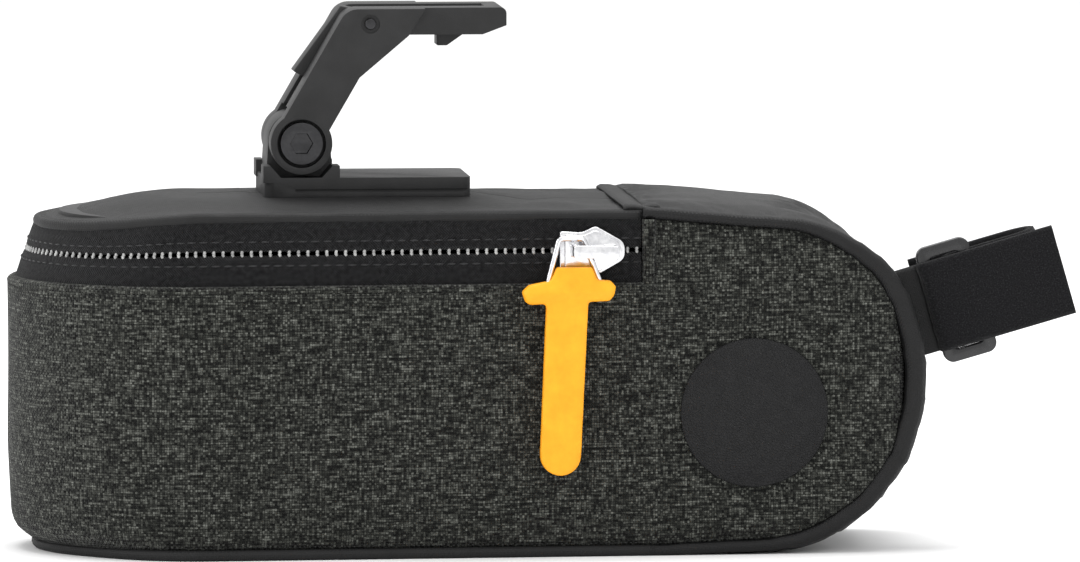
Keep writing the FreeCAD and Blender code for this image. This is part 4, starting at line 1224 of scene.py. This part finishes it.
# %% Coil beads and stitches
def beads(name, spots, radii, material, body, slot=None, turn=None):
    """Many small oval grains in one mesh: spots and their three half sizes along given axes."""
    ball = bmesh.new()
    bmesh.ops.create_icosphere(ball, subdivisions=1, radius=1.0)
    template = np.array([v.co[:] for v in ball.verts])
    triangles = [[v.index for v in f.verts] for f in ball.faces]
    ball.free()
    verts = []
    faces = []
    for i, (spot, axes) in enumerate(zip(spots, turn)):
        frame3 = np.array(axes) * np.array(radii)[:, None]
        base = len(verts)
        verts.extend((np.array(spot) + template @ frame3) * MM)
        faces.extend([[base + k for k in t] for t in triangles])
    mesh = bpy.data.meshes.new(name)
    mesh.from_pydata([tuple(v) for v in verts], [], faces)
    layer = mesh.uv_layers.new(name="pattern")
    flat = []
    for polygon in mesh.polygons:
        for index in polygon.vertices:
            flat.extend((template[index % len(template)][0], template[index % len(template)][2]))
    layer.data.foreach_set("uv", flat)
    return new_object(name, mesh, material, body, slot)


def band_row(name, z, pitch, radii, out, body, material, slot, lean=0.0):
    """A row of grains along the band: coil teeth or stitches."""
    line, normal, run = plan_line(LID_LINE - 1.2, pitch)
    spots = []
    axes = []
    for i in range(len(line)):
        n = normal[i]
        along = np.array((-n[1], n[0], lean))
        along /= np.linalg.norm(along)
        out_dir = np.array((n[0], n[1], 0.0))
        up = np.cross(out_dir, along)
        spots.append(band_point(line[i], n, z, out))
        axes.append((along, out_dir, up))
    return beads(name, spots, radii, material, body, slot, axes)


tooth = (0.4, 0.42, 0.55)
teeth_low = band_row("coil_teeth_lower", ZIP_LINE - 0.3, 1.9, tooth, -0.45, "bag", COIL_PAINTED_HIGHLIGHT, "coil_plastic", 0.2)
teeth_up = band_row("coil_teeth_upper", ZIP_LINE + 0.3, 1.9, tooth, -0.45, "lid", COIL_PAINTED_HIGHLIGHT, "coil_plastic", -0.2)
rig.replaces(teeth_low, "zip_coil_lower")
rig.replaces(teeth_up, "zip_coil_upper")
stitch = (0.95, 0.17, 0.17)
for offset, body in ((-2.4, "bag"), (2.4, "lid")):
    label = "lower" if offset < 0 else "upper"
    band_row("zip_stitches_" + label, ZIP_LINE + offset, 2.5, stitch, 0.06, body, BLACK_THREAD, "tape_fabric")
print("teeth and stitches:", len(teeth_low.data.vertices) + len(teeth_up.data.vertices), "points")

# %% [markdown]
# ## The lid
# A flat panel of coated cloth over thin foam, with a rolled lip round it like the gusset's. The
# foam gives it a low crown, and the cloth lies in wide shallow waves between the seam and the
# clip's base plate. It is laid as a fan of points from the U to the middle, then swollen a little
# by the same cloth simulation, with its seam and the plate's place pinned.

# %% Lid cover
plate_low, plate_high = [Vector(c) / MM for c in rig.box("clip_base")]


def make_lid():
    line, normal, run = plan_line(LID_LINE, 1.5)
    line = leaned(line, REAR_LEAN)
    points = []
    uv = []
    flat_top = LID_EDGE + 1.5
    radius = 1.15
    curl = 6
    rise = plate_low.z + 0.25 - flat_top
    for k in range(curl + 1):
        angle = math.radians(-70 + 160 * k / curl)
        row = []
        marks = []
        for spot, n, s in zip(line, normal, run):
            pucker = 0.16 * ripple(s / 4.2, k / 5, 0, 11) + 0.22 * ripple(s / 13, 0, 0, 12)
            out = -0.95 - radius + 0.35 + radius * math.cos(angle) + pucker
            z = flat_top - radius + radius * math.sin(angle) - lid_drop(spot[0]) + 0.5 * pucker
            row.append((spot[0] + n[0] * out, spot[1] + n[1] * out, z))
            marks.append((s, k * 0.5))
        points.append(row)
        uv.append(marks)
    rim = len(points)
    rings = 22
    for k in range(1, rings + 1):
        t = k / rings
        row = []
        marks = []
        for spot, n, s in zip(line, normal, run):
            inward = -0.6 - radius
            edge = np.array((spot[0] + n[0] * inward, spot[1] + n[1] * inward))
            centre = np.array((min(max(spot[0], REAR + REAR_LEAN + REAR_RADIUS - 2), LID_LINE), 0.0))
            p = edge * (1 - t) + centre * t
            reach = math.dist(p, edge)
            front = smooth(LID_LINE, LID_LINE - 14, p[0])
            crown = rise * smooth(0, 24, reach) * (0.1 + 0.9 * smooth(14, -2, p[0]) * front)
            sink = lid_drop(p[0]) * (1 - smooth(0, 26, reach) * 0.55)
            wave = (0.3 * ripple(p[0] / 15, p[1] / 11, 0, 13) + 0.5 * ripple(p[0] / 8, p[1] / 16, 0, 18)
                    * smooth(2, 10, p[0])) * smooth(0, 6, reach)
            under = plate_low.x - 2 < p[0] < plate_high.x + 2 and abs(p[1]) < plate_high.y + 2
            z = flat_top + crown - sink + (0 if under else wave)
            if under:
                z = min(z, plate_low.z - 0.02)
            row.append((p[0], p[1], z))
            marks.append((p[0], p[1]))
        points.append(row)
        uv.append(marks)
    mesh = grid_mesh("lid_cover", points, uv)
    cover = new_object("lid_cover", mesh, COATED, "lid", "coated_fabric")
    columns = len(line)
    pinned = [i for i in range(rim * columns)]
    for r in range(rim, len(points)):
        for c in range(columns):
            x, y, z = points[r][c]
            near_plate = plate_low.x - 3 < x < plate_high.x + 3 and abs(y) < plate_high.y + 3
            if c in (0, columns - 1) or near_plate or r == len(points) - 1:
                pinned.append(r * columns + c)
    puff(cover, pinned, pressure=1.2, cap=0.7, spare=0.012, bend=0.4)
    thicken(cover, 0.8)
    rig.replaces(cover, "lid_panel", "lid_piping")
    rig.padded(cover, fill=0.3)
    return cover


lid_cover = make_lid()
print("lid cover:", len(lid_cover.data.vertices), "points")

# %% [markdown]
# ## Hard parts
# The clip, the slider and the screws are already the right shape in the CAD model, but their
# edges are sharp as drawn. A real moulding or casting has small radii, and it is those that catch
# the light. Each is copied, its edges are rounded by a bevel, and the copy stands for the node.

# %% Rounded copies of the CAD parts
def softened(node, material, slot, radius=0.3, segments=3, name=None, angle=28):
    """A copy of a CAD node with rounded edges and its finish."""
    mesh = frame["nodes"][node].data.copy()
    work = bmesh.new()
    work.from_mesh(mesh)
    bmesh.ops.remove_doubles(work, verts=work.verts, dist=0.00001)
    bmesh.ops.dissolve_limit(work, angle_limit=math.radians(1.5), verts=work.verts, edges=work.edges)
    work.to_mesh(mesh)
    work.free()
    mesh.materials.clear()
    body = frame["nodes"][node]["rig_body"]
    piece = new_object(name or node + "_shape", mesh, material, body, slot)
    for face in piece.data.polygons:
        face.use_smooth = False
    bevel = piece.modifiers.new("bevel", "BEVEL")
    bevel.width = radius * MM
    bevel.segments = segments
    bevel.limit_method = "ANGLE"
    bevel.angle_limit = math.radians(angle)
    bevel.use_clamp_overlap = True
    bevel.harden_normals = False
    settle(piece)
    piece.data.update()
    smooth_by_angle(piece.data, 35)
    lay_pattern(piece.data)
    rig.replaces(piece, node)
    return piece


def make_spring():
    """The latch's coil spring: a copy that stands on the arm and shortens as the latch is pressed."""
    source = frame["nodes"]["latch_spring"]
    spring = new_object("latch_coil", source.data.copy(), None, "clip_arm", "steel")
    spring.data.materials.clear()
    spring.data.materials.append(STEEL)
    pivot, elbow = [Vector(joint_place(name)) for name in ("clip_pivot", "latch_press")]
    along = (elbow - pivot).normalized()
    axis = Vector((along.z, 0.0, -along.x))
    low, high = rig.box("latch_spring")
    middle = (Vector(low) + Vector(high)) / 2
    fixed = middle + axis * (Vector(high) - Vector(low)).length * 0.33
    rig.squash(spring, "latch_press", axis=tuple(axis), anchor=tuple(fixed), keep=0.28)
    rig.replaces(spring, "latch_spring")


def joint_place(name):
    """Where a joint's axis lies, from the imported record."""
    joints = frame["record"]["behaviour"]["joints"]
    return next(joint["pos_m"] for joint in joints if joint["name"] == name)


def lay_pattern(mesh):
    """Pattern coordinates in millimetres, laid on from the side that each face looks to."""
    layer = mesh.uv_layers.get("pattern") or mesh.uv_layers.new(name="pattern")
    flat = []
    for polygon in mesh.polygons:
        drop = max(range(3), key=lambda i: abs(polygon.normal[i]))
        across, up = [i for i in range(3) if i != drop]
        for index in polygon.vertices:
            spot = mesh.vertices[index].co
            flat.extend((spot[across] / MM, spot[up] / MM))
    layer.data.foreach_set("uv", flat)


def smooth_by_angle(mesh, degrees):
    """Smooth faces, with sharp edges kept where the angle is large."""
    work = bmesh.new()
    work.from_mesh(mesh)
    for face in work.faces:
        face.smooth = True
    for edge in work.edges:
        edge.smooth = not (len(edge.link_faces) == 2 and edge.calc_face_angle() > math.radians(degrees))
    work.to_mesh(mesh)
    work.free()


for node, material, slot, radius in (
    ("clip_arm", NYLON, "nylon", 0.35),
    ("clip_base", NYLON, "nylon", 0.4),
    ("latch", NYLON, "nylon", 0.25),
    ("slider_body", ZINC, "chrome", 0.3),
    ("slider_crown", ZINC, "chrome", 0.3),
    ("lock_spring", ZINC, "chrome", 0.15),
    ("lid_screws", BLACK_STEEL, "black_steel", 0.2),
    ("pivot_bolt", BLACK_STEEL, "black_steel", 0.2),
    ("pivot_nut", BLACK_STEEL, "black_steel", 0.2),
    ("elbow_pin", BLACK_STEEL, "steel", 0.2),
    ("pull_wire", ZINC, "chrome", 0.0),
    ("backing_plate", NYLON, "nylon", 0.3),
    ("base_board", NYLON, "board_plastic", 0.3),
    ("lid_board", NYLON, "board_plastic", 0.3),
    ("badge", LEATHER, "leatherette", 0.3),
    ("strap_ring", GLOSSY, "ring_plastic", 0.6),
):
    if radius:
        softened(node, material, slot, radius)
    else:
        frame["nodes"][node].data.materials.clear()
        frame["nodes"][node].data.materials.append(material)
make_spring()
print("hard parts done")

# %% [markdown]
# ## The pull
# The zip's pull is soft rubber moulded over its wire: a short neck, a collar with a ridge that
# fingers find without looking, and a long flat stem. Each part is a hull round a few points. The
# three are joined by a voxel remesh and smoothed, which leaves the soft edges of a moulding.

# %% Rubber pull
wire_low, wire_high = [Vector(c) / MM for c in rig.box("pull_wire")]
tab_low, tab_high = [Vector(c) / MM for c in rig.box("pull_tab")]
PULL_Y = (wire_low.y + wire_high.y) / 2
PULL_X = tab_low.x + 15.35
PULL_Z = tab_high.z + 2.9


def hull(work, layers):
    """Add the hull round outlines (points, half thickness), given round the slider's middle."""
    fresh = bmesh.new()
    for points, half in layers:
        for depth in (-half, min(half, 1.3)):
            for x, z in points:
                fresh.verts.new(((PULL_X + x) * MM, (PULL_Y + depth) * MM, (PULL_Z + z) * MM))
    bmesh.ops.convex_hull(fresh, input=fresh.verts)
    bmesh.ops.delete(fresh, geom=[v for v in fresh.verts if not v.link_faces], context="VERTS")
    mesh = bpy.data.meshes.new("hull")
    fresh.to_mesh(mesh)
    fresh.free()
    work.from_mesh(mesh)
    bpy.data.meshes.remove(mesh)


def make_pull():
    work = bmesh.new()
    hull(work, [(((-7.3, -3.0), (-0.2, -3.0), (1.0, -6.0), (-8.7, -6.0)), 1.55)])
    left = ((-14.3, -7.9), (-13.6, -9.9), (-12.7, -10.5), (-8.0, -10.2), (-4, -10.0), (-4, -6.0), (-8.2, -5.6), (-12.8, -6.5))
    right = ((-4, -10.0), (0.5, -9.8), (3.3, -9.8), (4.3, -8.6), (4.6, -6.9), (3.6, -5.7), (0.8, -5.5), (-4, -6.0))
    hull(work, [(left, 1.2), (((-13.2, -8.6), (-4, -7.9)), 2.15)])
    hull(work, [(right, 1.2), (((-4, -7.9), (3.6, -7.6)), 2.15)])
    stem = [(-0.9, -9), (-9.3, -9)]
    for k in range(13):
        angle = math.pi * k / 12
        stem.append((-6.5 - 4.1 * math.cos(angle), -40.7 - 4.1 * math.sin(angle)))
    hull(work, [(stem, 1.35), ([(-5.1 + (x + 5.1) * 0.75, -25 + (z + 25) * 0.95) for x, z in stem], 1.65)])
    mesh = bpy.data.meshes.new("pull_moulding")
    work.to_mesh(mesh)
    work.free()
    pull = new_object("pull_moulding", mesh, RUBBER, "pull", "orange_rubber")
    modify(pull, "REMESH", mode="VOXEL", voxel_size=0.3 * MM)
    modify(pull, "SMOOTH", factor=0.6, iterations=7)
    lay_pattern(pull.data)
    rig.replaces(pull, "pull_tab")
    return pull


pull = make_pull()
print("pull:", len(pull.data.vertices), "points")

# %% [markdown]
# ## The post strap
# A short tab of smooth webbing is sewn into the nose and holds a plastic ring. The long strap is
# hook-and-loop: it passes through the ring, and its pile sticks to itself round the seat post.
# Both are bands with a rounded section, swept along a line that is given beside the strap.

# %% Bands of webbing
ring_low, ring_high = [Vector(c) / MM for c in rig.box("strap_ring")]
STRAP_TILT = math.radians(16)
STRAP_HALF = 9.1
RING = (ring_low + ring_high) / 2


def on_strap(u, v, w):
    """A place from the ring's middle: along the strap, to the far side, and across its width."""
    return (RING.x + u * math.cos(STRAP_TILT) - w * math.sin(STRAP_TILT), RING.y + v,
            RING.z + u * math.sin(STRAP_TILT) + w * math.cos(STRAP_TILT))


def band(name, path, half, thick, material, slot, shake=0.0, body="strap"):
    """A strip of webbing along a rounded line of (u, v) places."""
    line, run = resample(rounded(path, 0.5), 0.5)
    normal = outward(line)
    section = [(-half, -0.5), (-half - 0.15, 0.0), (-half, 0.5)]
    section += [(-half + 2 * half * k / 24, 0.5) for k in range(1, 24)]
    section += [(half, 0.5), (half + 0.15, 0.0), (half, -0.5)]
    section += [(half - 2 * half * k / 24, -0.5) for k in range(1, 24)]
    points = []
    uv = []
    for i, (spot, n) in enumerate(zip(line, normal)):
        row = []
        marks = []
        for k, (w, side) in enumerate(section):
            edge = 1 + 0.12 * smooth(half - 2.2, half - 1.2, abs(w)) - 0.25 * smooth(half - 0.4, half, abs(w))
            off = side * thick * edge
            fuzz = shake * ripple(run[i] * 1.9, w * 1.9, side * 3, 14) + 0.25 * ripple(run[i] / 14, w / 9, 0, 15)
            row.append(on_strap(spot[0] + n[0] * (off + fuzz), spot[1] + n[1] * (off + fuzz), w))
            marks.append((run[i] + 40 * side, w))
        points.append(row)
        uv.append(marks)
    mesh = grid_mesh(name, points, uv, wrap=True)
    cap_ends(mesh)
    return new_object(name, mesh, material, body, slot)


def make_strap():
    """The strap's near layer, the turn through the ring, and the far layer round the post's side."""
    near = band("strap_pile", ((-5.3, -0.9, 0), (-5.4, -2.2, 1.0), (22.4, -2.2, 0)), STRAP_HALF, 1.5, LOOP,
                "webbing", 0.14)
    through = band("strap_back", ((0.2, -1.5, 0), (0.2, 2.2, 1.6), (19.1, 2.2, 5.0), (19.1, 12.7, 5.0), (-6.2, 12.7, 0)),
                   STRAP_HALF, 1.4, LOOP, "webbing", 0.14)
    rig.replaces(near, "strap_loop")
    tab = band("strap_tab_band", ((-11.5, 0, 0), (-5.9, 0.0, 0)), STRAP_HALF - 0.2, 1.4, COATED, "webbing", 0.0, None)
    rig.blend(tab, "bag", "strap", (NOSE * MM, RING.y * MM, RING.z * MM), ((NOSE + 2) * MM, RING.y * MM, RING.z * MM))
    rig.replaces(tab, "strap_tab")
    return near, through, tab


strap_parts = make_strap()
print("strap:", sum(len(piece.data.vertices) for piece in strap_parts), "points")

# %% [markdown]
# ## The lid's hinge and its inside
# There is no metal hinge: the coated cloth of the nose simply runs on over the lid's front line,
# with a shallow groove along it. That strip bends when the lid opens, so its points are
# shared out between the bag and the lid. Under the lid a lining hides its stiffening board.

# %% Hinge strip and lid lining
def make_hinge():
    points = []
    uv = []
    for k in range(25):
        x = LID_LINE + 3.6 - 7.6 * k / 24
        half = half_width(x) - 1.3
        row = []
        marks = []
        for j in range(41):
            y = -half + 2 * half * j / 40
            groove = 0.35 * math.exp(-((x - LID_LINE) / 1.0) ** 2)
            end = 0.5 * smooth(half - 2.5, half, abs(y)) ** 2 + 0.5 * smooth(2.9, 3.6, x - LID_LINE)
            back = 0.4 * smooth(-3.2, -4.0, x - LID_LINE)
            row.append((x, y, LID_EDGE + 2.55 - groove - end - back + 0.12 * ripple(y / 6, x / 4, 0, 16)))
            marks.append((y, x))
        points.append(row)
        uv.append(marks)
    strip = new_object("lid_hinge_cloth", grid_mesh("lid_hinge_cloth", points, uv), COATED, None, "coated_fabric")
    thicken(strip, 0.6)
    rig.blend(strip, "bag", "lid", ((LID_LINE + 2.4) * MM, 0, LID_EDGE * MM), ((LID_LINE - 2.0) * MM, 0, LID_EDGE * MM))
    return strip


def make_lid_lining():
    line, normal, run = plan_line(LID_LINE - 3, 3.0)
    line = leaned(line, REAR_LEAN)
    points = []
    uv = []
    for k in range(13):
        t = k / 12
        row = []
        marks = []
        for spot, n in zip(line, normal):
            edge = np.array((spot[0] - n[0] * 6.0, spot[1] - n[1] * 6.0))
            centre = np.array((min(max(spot[0], REAR + REAR_LEAN + REAR_RADIUS - 2), LID_LINE - 3), 0.0))
            p = edge * (1 - t) + centre * t
            z = LID_EDGE - 1.6 - 0.9 * smooth(0, 8, math.dist(p, edge)) + 0.15 * ripple(p[0] / 9, p[1] / 9, 0, 17)
            row.append((p[0], p[1], z - 0.8 * lid_drop(p[0]) * (1 - smooth(0, 12, math.dist(p, edge)))))
            marks.append((p[0], p[1]))
        points.append(row)
        uv.append(marks)
    lining = new_object("lid_lining", grid_mesh("lid_lining", points, uv), LINING, "lid", "lining_fabric")
    thicken(lining, 0.3)
    return lining


hinge_cloth = make_hinge()
lid_lining = make_lid_lining()
print("hinge and lining:", len(hinge_cloth.data.vertices) + len(lid_lining.data.vertices), "points")

# %% [markdown]
# ## The studio
# The bag stands on a wide pale floor in an even white room, under three wide soft lamps, so
# black cloth still shows its folds. A long lens four metres away keeps its lines straight.

# %% Floor, lamps and camera
def make_floor():
    side = np.linspace(-9000, 9000, 13)
    points = [[(x, y, 0.0) for x in side] for y in side]
    uv = [[(x, y) for x in side] for y in side]
    f = Finish("floor_paper", (0.9, 0.9, 0.9), 0.9, specular=0.1)
    f.colour(f.ramp(f.noise(f.place(), 0.01), ((0.3, (0.885, 0.885, 0.885)), (0.7, (0.91, 0.91, 0.91)))))
    floor = new_object("floor", grid_mesh("floor", points, uv), f.material, None)
    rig.stage(floor)
    return floor


def lamp(name, place, aim, size, power, shade=(1, 1, 1)):
    data = bpy.data.lights.new(name, "AREA")
    data.shape = "RECTANGLE"
    data.size, data.size_y = size
    data.energy = power
    data.color = shade
    light = bpy.data.objects.new(name, data)
    collection.objects.link(light)
    light.visible_camera = False
    light.location = place
    light.rotation_euler = (Vector(aim) - Vector(place)).to_track_quat("-Z", "Y").to_euler()
    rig.stage(light)
    return light


floor = make_floor()
lamp("window", (-1.3, -0.5, 0.8), (0, 0, 0.04), (0.8, 0.9), 9)
lamp("fill", (0.5, -1.5, 1.0), (0.0, 0, 0.04), (1.0, 0.7), 4)
lamp("top", (0.1, 0.25, 1.3), (0, 0, 0.05), (1.3, 0.7), 16)
world = bpy.data.worlds.new("studio")
bpy.context.scene.world = world
world.use_nodes = True
world.node_tree.nodes["Background"].inputs["Color"].default_value = (1, 1, 1, 1)
world.node_tree.nodes["Background"].inputs["Strength"].default_value = 1.0
bpy.context.scene.view_settings.view_transform = "Standard"

lens = bpy.data.cameras.new("camera")
lens.lens = 667
lens.sensor_width = 36
lens.clip_start = 0.05
camera = bpy.data.objects.new("camera", lens)
collection.objects.link(camera)
aim = Vector((12.3, -38, 55.9)) * MM
azimuth, elevation = math.radians(-5), math.radians(4.3)
away = Vector((math.sin(azimuth) * math.cos(elevation), -math.cos(azimuth) * math.cos(elevation), math.sin(elevation)))
camera.location = aim + away * 4.0
camera.rotation_euler = (aim - camera.location).to_track_quat("-Z", "Y").to_euler()
bpy.context.scene.camera = camera

# %% Write the sizes and finish
def corners(box):
    return [[float(v) for v in corner] for corner in box]


with open("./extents.json", "w") as sizes:
    json.dump({"cad": corners(cad_box), "visual": corners(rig.bounds())}, sizes)
print(open("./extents.json").read())
